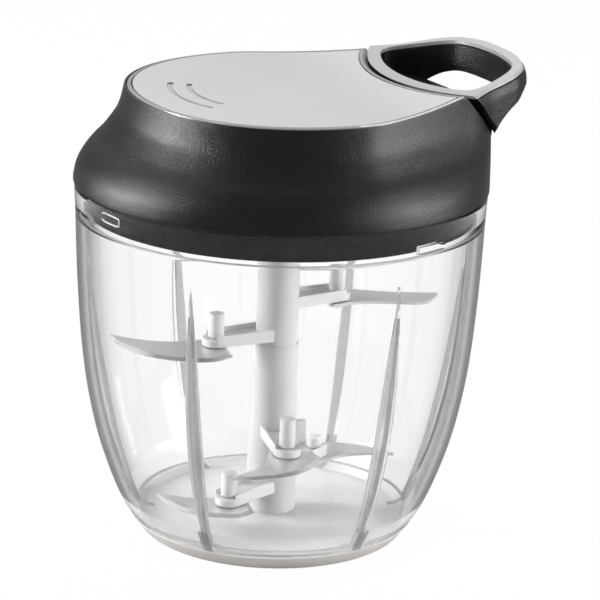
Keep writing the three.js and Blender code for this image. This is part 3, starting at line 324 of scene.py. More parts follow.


# painted shade: grey levels for the clear plastics from facing to grazing, darker at the edges, for the dark that clear
# plastic shows from what it reflects and bends
wallPaintedEdgeShade = [(0, 0.985), (0.45, 0.94), (0.6, 0.74), (0.72, 0.36), (0.8, 0.09), (1, 0.03)]
rimPaintedEdgeShade = [(0, 0.985), (0.6, 0.9), (0.75, 0.5), (1, 0.2)]
floorPaintedEdgeShade, ribPaintedStreakShade, ribSidePaintedEdgeShade = [(0, 0.93), (1, 0.9)], [(0, 0.37), (1, 0.26)], [(0, 0.95), (1, 0.9)]
finishes = {
    "clear": clearPlastic("wallPlastic", wallPaintedEdgeShade, roughness=0.015, through=0.97),
    "rim": clearPlastic("rimPlastic", rimPaintedEdgeShade, roughness=0.015, through=0.97, bend=1.15),
    "floor": clearPlastic("floorPlastic", floorPaintedEdgeShade, roughness=0.1, through=0.98, clear=0.84, bend=1.22),
    # the ribs' plastic is greyed right through, painted shade for the dark streaks they show
    "rib": clearPlastic("ribPaintedShade", ribPaintedStreakShade, roughness=0.14, through=0.95, clear=0.65),
    "ribSide": clearPlastic("ribSidePlastic", ribSidePaintedEdgeShade, roughness=0.12, through=0.97, clear=0.8, bend=1.25),
    "frost": frostedPlastic(),
    "black": grainedBlack(),
    "band": bandPlastic(),
    "plate": silver("plateSilver", 0.82, roughness=0.32),
    "ring": silver("ringSilver", 0.6, roughness=0.34),
    # painted shade: the dark grey of the groove walls
    "groove": silver("groovePaintedShade", 0.3, roughness=0.45, metal=0.0),
    "trim": silver("trimSilver", 0.7, roughness=0.22, metal=0.6),
    "white": whitePlastic("shaftPlastic", 0.53),
    "milky": whitePlastic("armPlastic", 0.62, roughness=0.32, glow=0.12),
    "nylon": whitePlastic("nylon", 0.7, roughness=0.35),
    "blade": steel("bladeSteel", 0.6, roughness=0.3, brushed=(500, 60, 500)),
    "steel": steel("pinSteel", 0.55, roughness=0.24),
    "pad": softPad("softPad", 0.68, warmth=0.05),
    # painted light: a lighter, cooler copy of the pad's finish for its upward faces, for the bright floor seen through
    # the bowl
    "padTop": softPad("padTop", 0.7, warmth=0.01),
    "cord": braid(),
}
print("finishes ready:", len(finishes))

# mesh tools, all in millimetres until a mesh is made
meshStyle = {
    "weld": 2e-7,  # metres within which points become one
    "cornerShare": 0.45,  # the most of a side that a rounded corner takes
    "bevelledSharp": 50,  # degrees from which an edge of a bevelled piece stays sharp
}


def smoothCurve(points, steps, closed=False):
    p = np.asarray(points, float)
    p = np.vstack([p[-1:], p, p[:2]]) if closed else np.vstack([2 * p[0] - p[1], p, 2 * p[-1] - p[-2]])
    t = np.linspace(0, 1, steps, endpoint=False)[:, None]
    run = []
    for i in range(1, len(p) - 2):
        a, b, c, d = p[i - 1:i + 3]
        run.append(0.5 * (
            2 * b + (c - a) * t + (2 * a - 5 * b + 4 * c - d) * t ** 2 + (3 * b - a - 3 * c + d) * t ** 3
        ))
    if not closed:
        run.append(p[-2][None])
    return np.vstack(run)


def arc(radius, angles):
    return np.column_stack([radius * np.cos(angles), radius * np.sin(angles)])


def inset(outline, distance):  # the outline runs counter-clockwise
    along = np.roll(outline, -1, 0) - np.roll(outline, 1, 0)
    along /= np.linalg.norm(along, axis=1)[:, None]
    return outline + distance * np.column_stack([-along[:, 1], along[:, 0]])


def lifted(outline, height):
    return np.column_stack([outline, np.full(len(outline), height) if np.isscalar(height) else height])


def meshObject(name, points, faces):
    mesh = bpy.data.meshes.new(name)
    mesh.from_pydata((np.asarray(points) * mm).tolist(), [], faces)
    work = bmesh.new()
    work.from_mesh(mesh)
    bmesh.ops.remove_doubles(work, verts=work.verts, dist=meshStyle["weld"])
    bmesh.ops.recalc_face_normals(work, faces=work.faces)
    work.to_mesh(mesh)
    work.free()
    made = bpy.data.objects.new(name, mesh)
    bpy.context.scene.collection.objects.link(made)
    return made


def loft(name, rings, capped=True):
    rings = np.asarray(rings, float)
    count, around = rings.shape[:2]
    faces = []
    for r in range(count - 1):
        for i in range(around):
            j = (i + 1) % around
            faces.append((r * around + i, r * around + j, (r + 1) * around + j, (r + 1) * around + i))
    if capped:
        faces.append(tuple(reversed(range(around))))
        faces.append(tuple(range((count - 1) * around, count * around)))
    return meshObject(name, rings.reshape(-1, 3), faces)


def prism(name, outline, low, high):
    return loft(name, [lifted(outline, low), lifted(outline, high)])


def revolve(name, profile, steps=160):  # a profile of radius and height, closed on itself or ending on the axis
    angle = np.linspace(0, turn, steps, endpoint=False)
    profile = np.asarray(profile, float)
    if profile[0][0] > 0 or profile[-1][0] > 0:
        profile = np.vstack([profile, profile[:1]])
    return loft(name, [lifted(arc(r, angle), z) for r, z in profile], capped=False)


def rounded(profile, radius, steps=4):  # rounds the corners of a profile, apart from its ends
    profile = np.asarray(profile, float)
    out = [profile[0]]
    for before, here, after in zip(profile[:-2], profile[1:-1], profile[2:]):
        a, b = before - here, after - here
        la, lb = np.linalg.norm(a), np.linalg.norm(b)
        reach = min(radius, la * meshStyle["cornerShare"], lb * meshStyle["cornerShare"])
        start, end = here + a / la * reach, here + b / lb * reach
        for t in np.linspace(0, 1, steps + 1):
            out.append((1 - t) ** 2 * start + 2 * t * (1 - t) * here + t ** 2 * end)
    out.append(profile[-1])
    return np.array(out)


def rod(name, radius, start, end, height, steps=48):  # along X
    section = arc(radius, np.linspace(0, turn, steps, endpoint=False)) + [0, height]
    return loft(name, [np.column_stack([np.full(steps, x), section]) for x in (start, end)])


def drill(radius, low, high, x, steps=32):  # an upright cutter
    hole = revolve("hole", [(0, low), (radius, low), (radius, high), (0, high)], steps)
    hole.data.transform(Matrix.Translation((x * mm, 0, 0)))
    return hole


def ringPiece(name, near, far, half, low, high):  # a short length of a ring, half its degrees to each side of X
    reach = np.radians(np.linspace(-half, half, 9))
    return prism(name, np.vstack([arc(far, reach), arc(near, reach[::-1])]), low, high)


def tube(name, route, radius, sides=10, across=(0, 0, 1), closed=False):
    route = np.asarray(route, float)
    before, after = np.roll(route, 1, 0), np.roll(route, -1, 0)
    if not closed:
        before[0], after[-1] = route[0], route[-1]
    angle = np.linspace(0, turn, sides, endpoint=False)[:, None]
    rings = []
    for point, along in zip(route, after - before):
        along /= np.linalg.norm(along)
        side = np.cross(along, across)
        side /= np.linalg.norm(side)
        over = np.cross(side, along)
        rings.append(point + radius * (np.cos(angle) * side + np.sin(angle) * over))
    return loft(name, rings + rings[:1] if closed else rings, capped=not closed)


def applyModifiers(piece):
    bpy.context.view_layer.update()
    result = bpy.data.meshes.new_from_object(piece.evaluated_get(bpy.context.evaluated_depsgraph_get()))
    piece.modifiers.clear()
    piece.data = result


def combine(base, tool, operation="DIFFERENCE"):
    step = base.modifiers.new("combine", "BOOLEAN")
    step.operation, step.object, step.solver = operation, tool, "EXACT"
    applyModifiers(base)
    bpy.data.objects.remove(tool)
    return base


def turnedBy(piece, degrees):
    piece.data.transform(Quaternion((0, 0, 1), math.radians(degrees)).to_matrix().to_4x4())
    return piece


def soften(piece, width=0.0, angle=35):  # bevels the edges if it has a width, and shades the piece smooth
    if width:
        step = piece.modifiers.new("edge", "BEVEL")
        step.width, step.segments, step.limit_method = width * mm, 2, "ANGLE"
        step.angle_limit = math.radians(angle)
        step.use_clamp_overlap = True
        applyModifiers(piece)
    work = bmesh.new()
    work.from_mesh(piece.data)
    limit = math.radians(meshStyle["bevelledSharp"] if width else angle)
    for face in work.faces:
        face.smooth = True
    for edge in work.edges:
        edge.smooth = len(edge.link_faces) == 2 and edge.calc_face_angle(0) < limit
    work.to_mesh(piece.data)
    work.free()
    if width:  # the broad faces lead the shading
        step = piece.modifiers.new("weights", "WEIGHTED_NORMAL")
        step.keep_sharp = True
        applyModifiers(piece)
    return piece


def coat(piece, finish):
    piece.data.materials.clear()
    piece.data.materials.append(finishes[finish])


def finishPiece(piece, finish, body, nodes=()):
    coat(piece, finish)
    if body:
        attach(piece, body)
    if nodes:
        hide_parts(*nodes)


def recoat(piece, others, choose):  # other finishes, for the faces that choose gives the name of one
    for name in others:
        piece.data.materials.append(finishes[name])
    for face in piece.data.polygons:
        name = choose(face)
        if name:
            face.material_index = 1 + others.index(name)


bowlStyle = {
    "height": 117.4, "rim": 66.98, "wall": 2.6, "floor": 5.0, "foot": 2.1, "footRadius": 43.4, "seam": (45.9, 5.28),
    "curve": [  # radius and height, as shares of the rim's
        (0.709, 0.045), (0.767, 0.102), (0.827, 0.187), (0.883, 0.29), (0.927, 0.409),
        (0.955, 0.528), (0.974, 0.664), (0.986, 0.801), (0.993, 0.92), (1, 1),
    ],
    "rimEdge": [(0.5, 0), (1.6, 0.1), (2.6, 1.3)],  # inward and down from the rim
    "innerTop": 2, "cornerTop": 13, "corner": [(46.6, 8.4), (43.2, 5.9), (38.5, 5.0)],
    "floorRing": [(26, 5.0), (22.5, 5.5), (19.5, 5.5), (16, 5.0)],
    "pinSocket": [(4.2, 5.0), (3.6, 5.6), (3.6, 9.6), (3.2, 10), (2.3, 10), (2.3, 3.2), (0, 3.2)],
    "ledge": 107.3, "ledgeDepth": 0.35, "ledgeHalf": 0.25, "frostHalf": 0.4, "ledgeFrost": 0.35, "frostInside": -0.5,
    "around": 180, "smooth": 38,
}
ribStyle = {
    "count": 6, "start": 42, "top": 100.5, "depth": 4.2, "width": 5.4,
    "shape": [  # height, depth and width, as shares of the rib's
        (0, 0.3, 0.55), (0.04, 0.4, 0.58), (0.12, 0.62, 0.7), (0.25, 0.86, 0.9), (0.4, 1, 1),
        (0.58, 0.9, 0.92), (0.75, 0.62, 0.68), (0.9, 0.28, 0.38), (1, 0.04, 0.1),
    ],
    "sink": 0.3, "lowest": 8.0, "rooted": 0.4, "thinnest": 0.02, "middleShare": 0.72, "noseShare": 0.3,
    # which faces count as a rib, as its side and as its foot
    "proud": 0.25, "sideShare": 0.4, "sideAt": [13, 40, 70, 100.5], "sideScale": [0.7, 1, 0.8, 0.1], "ridge": 0.4,
    "footLow": 5.15, "footNear": 38, "footShare": 0.36,
}
lugStyle = {
    "count": 3, "start": -66, "half": 5.4, "near": 62.5, "wallAt": 108.0, "rooted": 1.2, "low": 107.6, "high": 109.8,
}


def bowlCurve():
    return smoothCurve(bowlStyle["curve"], steps=6) * np.array([bowlStyle["rim"], bowlStyle["height"]])


def bowlInner():
    outer = bowlCurve()
    along = np.gradient(outer, axis=0)
    along /= np.linalg.norm(along, axis=1)[:, None]
    return outer + bowlStyle["wall"] * np.column_stack([-along[:, 1], along[:, 0]])


def bowlInnerRadius(height):
    inner = bowlInner()
    return np.interp(height, inner[:, 1], inner[:, 0])


def makeRib():
    s, bowl = ribStyle, bowlStyle
    rings = []
    for up, deep, wide in smoothCurve(s["shape"], steps=5):
        height = bowl["floor"] - s["sink"] + (s["top"] - bowl["floor"]) * up
        wall = bowlInnerRadius(max(height, s["lowest"]))
        root = wall + bowl["wall"] * s["rooted"]
        if height < bowl["seam"][1]:
            root = min(root, bowl["footRadius"])
        nose = min(wall, root) - s["depth"] * max(deep, s["thinnest"])
        half = s["width"] * wide / 2
        middle = (root + 2 * nose) / 3
        side, tip = half * s["middleShare"], half * s["noseShare"]
        rings.append([
            (root, -half, height), (root, half, height), (middle, side, height),
            (nose, tip, height), (nose, -tip, height), (middle, -side, height),
        ])
    return loft("rib", rings)


def makeLug():
    s = lugStyle
    return ringPiece("lug", s["near"], bowlInnerRadius(s["wallAt"]) + s["rooted"], s["half"], s["low"], s["high"])


def bowlInside():  # down the inner wall, past the small ledge near the rim, to the floor
    s = bowlStyle
    inner = bowlInner()
    inner = inner[(inner[:, 1] > s["cornerTop"]) & (inner[:, 1] < s["height"] - s["innerTop"])]
    above = inner[inner[:, 1] > s["ledge"] + s["frostHalf"]]
    below = inner[inner[:, 1] < s["ledge"] - s["frostHalf"]]
    step = bowlInnerRadius(s["ledge"])
    shelf = [(step - s["ledgeDepth"], s["ledge"] - s["ledgeHalf"]), (step, s["ledge"] + s["ledgeHalf"])]
    wall = np.vstack([below - [s["ledgeDepth"], 0], shelf, above])
    wallFoot = (bowlInnerRadius(s["cornerTop"]), s["cornerTop"])
    return [*wall[::-1], *smoothCurve([wallFoot, *s["corner"]], steps=5)]


# rib noses and rib feet get the greyed rib plastic, painted shade for their dark streaks
def bowlFinish(face):
    s, rib = bowlStyle, ribStyle
    x, y, z = np.array(face.center) / mm
    away = np.hypot(x, y)
    inside = bowlInnerRadius(z) - s["ledgeDepth"] - away
    apart = 360 / rib["count"]
    off = (math.degrees(math.atan2(y, x)) - rib["start"]) % apart
    off = math.radians(min(off, apart - off)) * away  # from the middle of the nearest rib
    if s["cornerTop"] < z < rib["top"] and inside > rib["proud"]:
        side = rib["sideShare"] * rib["depth"] * np.interp(z, rib["sideAt"], rib["sideScale"])
        return "ribSide" if inside < side and off > rib["ridge"] else "rib"
    if z < s["cornerTop"]:
        onFoot = z > rib["footLow"] and away > rib["footNear"] and off < rib["width"] * rib["footShare"]
        return "rib" if onFoot else "floor"
    if s["ledge"] + s["frostHalf"] < z < s["height"] - s["frostHalf"]:
        return "rim"
    onLedge = abs(z - s["ledge"]) < s["ledgeFrost"] and inside > s["frostInside"]
    return "frost" if onLedge or z > s["height"] - s["frostHalf"] else None


def makeBowl():
    s = bowlStyle
    outside = [(0, s["foot"]), (s["footRadius"], s["foot"]), s["seam"], *bowlCurve()]
    rimEdge = [(s["rim"] - inward, s["height"] - down) for inward, down in s["rimEdge"]]
    profile = [*outside, *rimEdge, *bowlInside(), *s["floorRing"], *s["pinSocket"]]
    bowl = revolve("bowlShell", profile, steps=s["around"])
    for make, style in ((makeRib, ribStyle), (makeLug, lugStyle)):
        for i in range(style["count"]):
            combine(bowl, turnedBy(make(), style["start"] + 360 * i / style["count"]), "UNION")
    soften(bowl, angle=s["smooth"])
    finishPiece(bowl, "clear", "bowl_body", ["bowl"])
    recoat(bowl, ["rib", "floor", "frost", "ribSide", "rim"], bowlFinish)


makeBowl()

padStyle = {
    "foot": 43.75, "rim": 47.3, "top": 5.0, "thick": 1.8, "bowlGap": 0.5, "edge": 0.6, "upward": 0.6,
    "lip": [(0, 0.3), (0.45, 0), (0.9, 0.1)],  # inward and down from the top of the rim
}


def makePad():
    s = padStyle
    lip = [(s["rim"] - inward, s["top"] - down) for inward, down in s["lip"]]
    well = [(bowlStyle["footRadius"] + s["bowlGap"], s["thick"]), (0, s["thick"])]
    pad = revolve("softFoot", rounded([(0, 0), (s["foot"], 0), *lip, *well], s["edge"]))
    soften(pad, angle=40)
    finishPiece(pad, "pad", "bowl_body", ["base_pad"])
    # the upward faces get the lighter copy, which is painted light
    recoat(pad, ["padTop"], lambda face: "padTop" if face.normal.z > s["upward"] else None)


makePad()
coat(solids["pivot_pin"], "steel")
print("bowl and pad made")

shaftStyle = {
    "bore": [(0, 10.8), (4.1, 10.8), (4.1, 5.4)], "lowerTop": (0, 62.4),
    "lower": [
        (7.7, 5.4), (7.9, 5.8), (7.9, 13.5), (8.3, 17), (8.6, 20.5),
        (8.3, 28), (7.6, 39), (7.4, 46), (7.4, 61.9), (7.0, 62.4),
    ],
    "upper": [(0, 62.7), (7.0, 62.7), (7.0, 99.4), (0, 99.4)],
    "head": [(0, 98), (6.58, 98), (6.58, 107.6), (0, 107.6)], "headSides": 6, "edge": 0.5,
}
armStyle = {
    "reach": 27, "root": 6, "end": 4.4, "thick": 2.4, "rail": 1.5, "railWidth": 1.5, "endRail": 0.8,
    "troughPast": 30, "troughOver": 9, "holeBelow": 5, "edge": 0.35,
}
pegStyle = {
    "reach": 22.5, "radius": 2.65, "taper": 0.95, "height": 8, "lift": 0.3, "stem": 1.7, "stemRoom": 0.3, "edge": 0.6,
    "head": 3.0, "headThick": 1.1, "headDrop": 0.6, "fin": 1.8, "finReach": 5.9, "finUp": 1.8, "finDown": 0.7,
}
bladeStyle = {
    "reach": 55, "thick": 1.0, "ground": 1.6, "edgeThick": 0.25, "armGap": 0.3, "hole": 2.0, "holePast": 3,
    "unground": 6, "fade": 4,
    "sickle": [  # x and y as shares of the reach, the cutting edge first
        (0.4, 0.2), (0.55, 0.235), (0.7, 0.155), (0.82, 0.035), (0.89, -0.11), (0.915, -0.25),
        (0.9, -0.43), (0.78, -0.28), (0.65, -0.175), (0.47, -0.13), (0.33, -0.11),
    ],
    "knife": [
        (0.4, 0.18), (0.52, 0.175), (0.62, 0.15), (0.83, -0.015), (1.052, -0.16),
        (0.98, -0.22), (0.855, -0.27), (0.63, -0.15), (0.47, -0.1), (0.33, -0.1),
    ],
    "edgePoints": {"sickle": 7, "knife": 5},
}
arms = [
    {"shaft": "upper_shaft", "under": 75.2, "turned": 6, "back": 0, "shape": "knife", "size": 1.0, "grip": 1.0},
    {"shaft": "upper_shaft", "under": 65.0, "turned": -174, "back": 0, "shape": "sickle", "size": 1.0, "grip": 1.0},
    {"shaft": "lower_shaft", "under": 31.8, "turned": -102, "back": 4, "shape": "sickle", "size": 0.84, "grip": 1.2},
    {"shaft": "lower_shaft", "under": 17.5, "turned": 28, "back": 0, "shape": "sickle", "size": 0.85, "grip": 0.45},
    {"shaft": "lower_shaft", "under": 12.6, "turned": -152, "back": 22, "shape": "sickle", "size": 0.8, "grip": 1.0},
]
finnedPegs = [3]


def makeShafts():
    s = shaftStyle
    lower = revolve("lowerShaft", [*s["bore"], *smoothCurve(s["lower"], steps=4), s["lowerTop"]], steps=96)
    upper = revolve("upperShaft", rounded(s["upper"], s["edge"]), steps=96)
    head = revolve("driveHead", rounded(s["head"], s["edge"], steps=2), steps=s["headSides"])
    finishPiece(soften(head, angle=25), "white", "blades")
    for piece, node in ((lower, "lower_shaft"), (upper, "upper_shaft")):
        finishPiece(soften(piece, angle=40), "white", "blades", [node])


def makeBladeSheet(number, arm):
    s = bladeStyle
    back, pegAt = math.radians(arm["back"]), np.array([pegStyle["reach"], 0])
    turnBack = np.array([[math.cos(back), -math.sin(back)], [math.sin(back), math.cos(back)]])
    plan = (np.array(s[arm["shape"]]) * (s["reach"] * arm["size"]) - pegAt) @ turnBack + pegAt
    tip = s["edgePoints"][arm["shape"]]
    edge, spine = smoothCurve(plan[:tip], steps=8), smoothCurve(plan[tip - 1:], steps=8)[1:]
    outline = np.vstack([edge, spine])[::-1]

    # the edge is ground from the top, and the grinding fades out before the tip
    count, window = len(outline), 2 * s["fade"] + 1
    share = np.array([1.0 if count - 1 - k < len(edge) - s["unground"] else 0.0 for k in range(count)])
    share = np.convolve(np.pad(share, s["fade"], "edge"), np.ones(window) / window, "valid")[:, None]
    top = outline * (1 - share) + inset(outline, s["ground"]) * share
    high = arm["under"] - s["armGap"]
    low = high - s["thick"]
    rings = [lifted(outline, low), lifted(outline, low + s["edgeThick"]), lifted(top, high)]
    sheet = loft(f"bladeSheet{number}", rings)
    combine(sheet, drill(s["hole"], low - s["holePast"], high + s["holePast"], pegStyle["reach"]))
    soften(turnedBy(sheet, arm["turned"]), angle=18)
    finishPiece(sheet, "blade", "blades", [f"blade_{number}"])


def armPlan(root, end, reach):
    tip = [(reach - end + end * math.sin(a), -end * math.cos(a)) for a in np.linspace(0, math.pi, 13)]
    return np.array([(0, -root), *tip, (0, root)])


def makeArm(arm):
    s, under = armStyle, arm["under"]
    top = under + s["thick"] + s["rail"]
    piece = prism("arm", armPlan(s["root"], s["end"], s["reach"]), under, top)
    troughPlan = armPlan(s["root"] - s["railWidth"], s["end"] - s["endRail"], s["reach"] + s["troughPast"])
    combine(piece, prism("trough", troughPlan, under + s["thick"], top + s["troughOver"]))
    combine(piece, drill(pegStyle["stem"] + pegStyle["stemRoom"], under - s["holeBelow"], top, pegStyle["reach"]))
    soften(turnedBy(piece, arm["turned"]), s["edge"])
    finishPiece(piece, "milky", "blades", [arm["shaft"]])


def makePeg(number, arm):
    s = pegStyle
    base = arm["under"] + armStyle["thick"] + s["lift"]
    top = base + s["height"] * arm["grip"]
    head = arm["under"] - bladeStyle["thick"] - s["headDrop"]
    foot = head - s["headThick"]
    peg = revolve(f"bladePeg{number}", rounded([
        (0, foot), (s["head"], foot), (s["head"], head), (s["stem"], head), (s["stem"], base),
        (s["radius"], base), (s["radius"] * s["taper"], top), (0, top),
    ], s["edge"]), steps=40)
    if number in finnedPegs:
        half, reach = s["fin"] / 2, s["finReach"]
        plan = np.array([(-half, 0), (half, 0), (half, reach), (-half, reach)])
        combine(peg, prism("fin", plan, base + s["finUp"], top - s["finDown"]), "UNION")
    peg.data.transform(Matrix.Translation((s["reach"] * mm, 0, 0)))
    soften(turnedBy(peg, arm["turned"]), angle=50)
    finishPiece(peg, "milky", "blades", [f"blade_peg_{number}"])


makeShafts()
for number, arm in enumerate(arms, 1):
    makeBladeSheet(number, arm)
    makeArm(arm)
    makePeg(number, arm)
print("shafts and blades made")

# the height of the cord's straight run, which lid and handle are bored for
cordHeight = 138.0

# the curved top that lid, plate and handle share, and how far its cutters run past them
topStyle = {
    "crown": 148.1, "tilt": 0.012, "start": 15, "reach": 63, "rise": 8.2, "power": 1.9,
    "farLeft": -90, "farRight": 100, "farSide": 90, "farBelow": -140, "farAbove": 20,
}
lidStyle = {
    "radius": 67.3, "rim": 117.7, "shoulder": 118.5, "wall": 3.0, "deck": 2.2, "plateCentre": 3.0, "halfLength": 52.7,
    "halfWidth": 55.8, "squareness": 2.15, "side": [(3, 55.8), (12.05, 55.8), (29.5, 46.7), (46, 38)],
    "front": [(59.3, 30), (66.8, 15), (66.8, 0)], "lipDrop": 0.25, "lip": 0.3, "edge": 0.3,
    "profile": [  # up from the shoulder and in to the plate's outline, as shares
        (0, 0), (0.12, 0.045), (0.23, 0.14), (0.35, 0.305), (0.465, 0.515),
        (0.585, 0.685), (0.7, 0.825), (0.815, 0.904), (0.93, 0.954), (1, 0.984),
    ],
    "around": 260, "hollowDrop": 20,
    "bore": {"radius": 2.4, "start": 30, "end": 60}, "counterbore": {"radius": 4.0, "start": 42, "end": 60},
}
seatStyle = {
    "radius": 62.7, "x": 34.6, "height": 149.3, "lean": 1.17, "ledge": 131.5, "span": 52, "wall": 2.4, "wallScale": 1.6,
    "face": [(1, 1), (0.7, 0.765), (0.35, 0.39), (0, 0)], "over": (-20, -20), "past": 130,
}
plateStyle = {
    "thick": 1.3, "trim": 1.3, "gap": 0.55, "seatGap": 0.3, "margin": 0.6, "edge": 0.22, "trimEdge": 0.12,
    "trimShape": [(0, -2.6), (0, -0.45), (0.1, -0.2), (0.4, 0), (0.4, 20)],  # inward, and up from the top
    "grooves": [{"radius": 37.6, "half": 0.49}, {"radius": 31.4, "half": 0.46}], "grooveCentre": 1.0,
    "grooveWidth": 1.9, "grooveDepth": 0.5, "grooveRoom": 0.3, "flat": 0.92,
}


def topHeight(x):
    s = topStyle
    swept = np.maximum(0, (np.asarray(x, float) - s["start"]) / s["reach"])
    return s["crown"] + s["tilt"] * np.asarray(x, float) + s["rise"] * swept ** s["power"]


def acrossY(name, outline, half):  # an outline in X and Z, carried to both sides
    x, z = outline[:, 0], outline[:, 1]
    return loft(name, [np.column_stack([x, np.full(len(outline), y), z]) for y in (-half, half)])


def topBand(low, high, stations=90):
    x = np.linspace(topStyle["farLeft"], topStyle["farRight"], stations)
    upper, lower = np.column_stack([x, topHeight(x) + high]), np.column_stack([x, topHeight(x) + low])
    return acrossY("topBand", np.vstack([upper, lower[::-1]]), topStyle["farSide"])


def belowTop(drop):
    return topBand(topStyle["farBelow"], -drop)


def aboveTop(drop):
    return topBand(-drop, topStyle["farAbove"])


def bezier(points, steps=60):
    t = np.linspace(0, 1, steps)[:, None]
    level = [np.array(point, float) for point in points]
    while len(level) > 1:
        level = [(1 - t) * a + t * b for a, b in zip(level, level[1:])]
    return level[0]


def lidRadii(angles):  # the plate's outline: an oval at the back that runs into two curves at the front
    s = lidStyle
    a = np.linspace(0, math.pi / 2, 90)
    power = 2 / s["squareness"]
    backX, backY = s["plateCentre"] - s["halfLength"] * np.cos(a) ** power, s["halfWidth"] * np.sin(a) ** power
    points = np.vstack([np.column_stack([backX, backY]), bezier(s["side"]), bezier(s["front"])])
    angle, radius = np.arctan2(points[:, 1], points[:, 0]), np.hypot(points[:, 0], points[:, 1])
    order = np.argsort(angle)
    return np.interp(np.abs(np.arctan2(np.sin(angles), np.cos(angles))), angle[order], radius[order])


lidAngles = np.linspace(0, turn, lidStyle["around"], endpoint=False)
lidEdge = lidRadii(lidAngles)
lidOutline = arc(lidEdge, lidAngles)


def lidForm(wall, bottom):  # the outside of the lid, or the inside of a wall of that thickness
    s = lidStyle
    rim = topHeight(lidOutline[:, 0]) - wall / 2

    def ring(up, inward, lift=0):
        outline = arc(s["radius"] + (lidEdge - s["radius"]) * inward - wall, lidAngles)
        return lifted(outline, s["shoulder"] + (rim - s["shoulder"]) * up + lift)

    shape = smoothCurve(s["profile"], steps=4)
    foot = lifted(arc(s["radius"] - wall, lidAngles), bottom)
    return loft("lidForm", [foot] + [ring(*pair) for pair in shape] + [ring(*shape[-1], lift=topStyle["farAbove"])])


def seatPocket(back, drop):  # the space of the handle's seat, which can be moved back and deepened
    s = seatStyle
    depth = s["height"] - s["ledge"]
    face = [(down * depth, out * depth) for down, out in smoothCurve(s["face"], steps=5)] + [s["over"]]
    if drop:
        face = [(depth + drop, depth + drop)] + face
    y = np.linspace(s["span"], -s["span"], 90)
    rings = []
    for down, out in face:
        x = s["x"] + out * s["lean"] + back + s["radius"] - np.sqrt(s["radius"] ** 2 - y ** 2)
        outline = np.vstack([np.column_stack([x, y]), [(s["past"], -s["span"]), (s["past"], s["span"])]])
        rings.append(lifted(outline, s["height"] - down))
    return loft("seatPocket", rings)


def lidColumn(name, outline, low=120, high=170):  # an upright form that runs through the lid's top
    return prism(name, outline, low, high)


def makeLidShell():
    s, p = lidStyle, plateStyle
    drop = p["thick"] + p["seatGap"]
    shell = lidForm(0, s["rim"])
    combine(shell, belowTop(s["lipDrop"]), "INTERSECT")
    combine(shell, combine(lidColumn("recess", inset(lidOutline, s["lip"])), aboveTop(drop), "INTERSECT"))
    combine(shell, seatPocket(0, 0))
    hollow = lidForm(s["wall"], s["rim"] - s["hollowDrop"])
    combine(hollow, belowTop(drop + s["deck"]), "INTERSECT")
    combine(hollow, seatPocket(-seatStyle["wall"] * seatStyle["wallScale"], seatStyle["wall"]))
    combine(shell, hollow)
    for name in ("bore", "counterbore"):
        combine(shell, rod(name, height=cordHeight, **s[name]))
    soften(shell, s["edge"], angle=40)
    finishPiece(shell, "black", "lid", ["lid_shell"])


def plateField(margin):
    return combine(lidColumn("field", inset(lidOutline, plateStyle["margin"] + margin)), seatPocket(-margin, 0))


def makeTrim():
    p = plateStyle
    rings = []
    for inward, up in p["trimShape"]:
        rings.append(lifted(inset(lidOutline, p["margin"] + inward), topHeight(lidOutline[:, 0]) + up))
    trim = loft("trimRim", rings)
    combine(trim, seatPocket(0, 0))
    combine(trim, plateField(p["trim"]))
    combine(trim, topBand(-p["thick"], 0), "INTERSECT")
    soften(trim, p["trimEdge"], angle=40)
    finishPiece(trim, "trim", "lid", ["trim_ring"])


def groovePlan(groove):  # a curved slot with round ends
    centre, half = np.array([plateStyle["grooveCentre"], 0]), plateStyle["grooveWidth"] / 2
    spread = math.pi + np.linspace(-groove["half"], groove["half"], 40)
    outer, middle, inner = [centre + arc(groove["radius"] + off, spread) for off in (half, 0, -half)]
    cap = np.linspace(0, math.pi, 9)
    last = middle[-1] + half * arc(1, spread[-1] + cap)
    first = middle[0] + half * arc(1, spread[0] + math.pi + cap)
    return np.vstack([outer, last, inner[::-1], first])


def plateFinish(face):  # the groove walls are painted darker, painted shade in the grooves, but not the flat of the plate round them
    p = plateStyle
    x, y = np.array(face.center)[:2] / mm
    away = math.hypot(x - p["grooveCentre"], y)
    near = any(abs(away - groove["radius"]) < p["grooveWidth"] / 2 + p["grooveRoom"] for groove in p["grooves"])
    return "groove" if x < 0 and near and abs(face.normal.z) < p["flat"] else None


def makePlate():
    p = plateStyle
    plate = combine(plateField(p["trim"] + p["gap"]), topBand(-p["thick"], 0), "INTERSECT")
    for groove in p["grooves"]:
        cutter = lidColumn("groove", groovePlan(groove), low=130)
        combine(plate, combine(cutter, aboveTop(p["grooveDepth"]), "INTERSECT"))
    soften(plate, p["edge"], angle=35)
    finishPiece(plate, "plate", "lid", ["top_plate"])
    recoat(plate, ["groove"], plateFinish)


makeLidShell()
makeTrim()
makePlate()
print("lid, rim and plate made")

# the cover inside the lid, whose band shows below it, and the raised outline on the band
bandStyle = {
    "radius": 62.98, "bottom": 108.4, "top": 117.9, "flange": 63.4, "floor": 111.6, "wall": 2.5, "thick": 2,
    "bore": 10.2, "edge": 0.4, "around": 180, "notch": {"near": 55, "far": 66, "half": 5.73, "low": 100, "high": 110.2},
    "screws": {"count": 4, "start": 45}, "screwHole": {"radius": 1.7, "low": 100, "high": 130, "x": 46, "steps": 24},
    "mark": {"turned": -169.6, "height": 112.4, "size": (10, 2.7), "square": 0.35, "proud": 0.05, "line": 0.28},
}


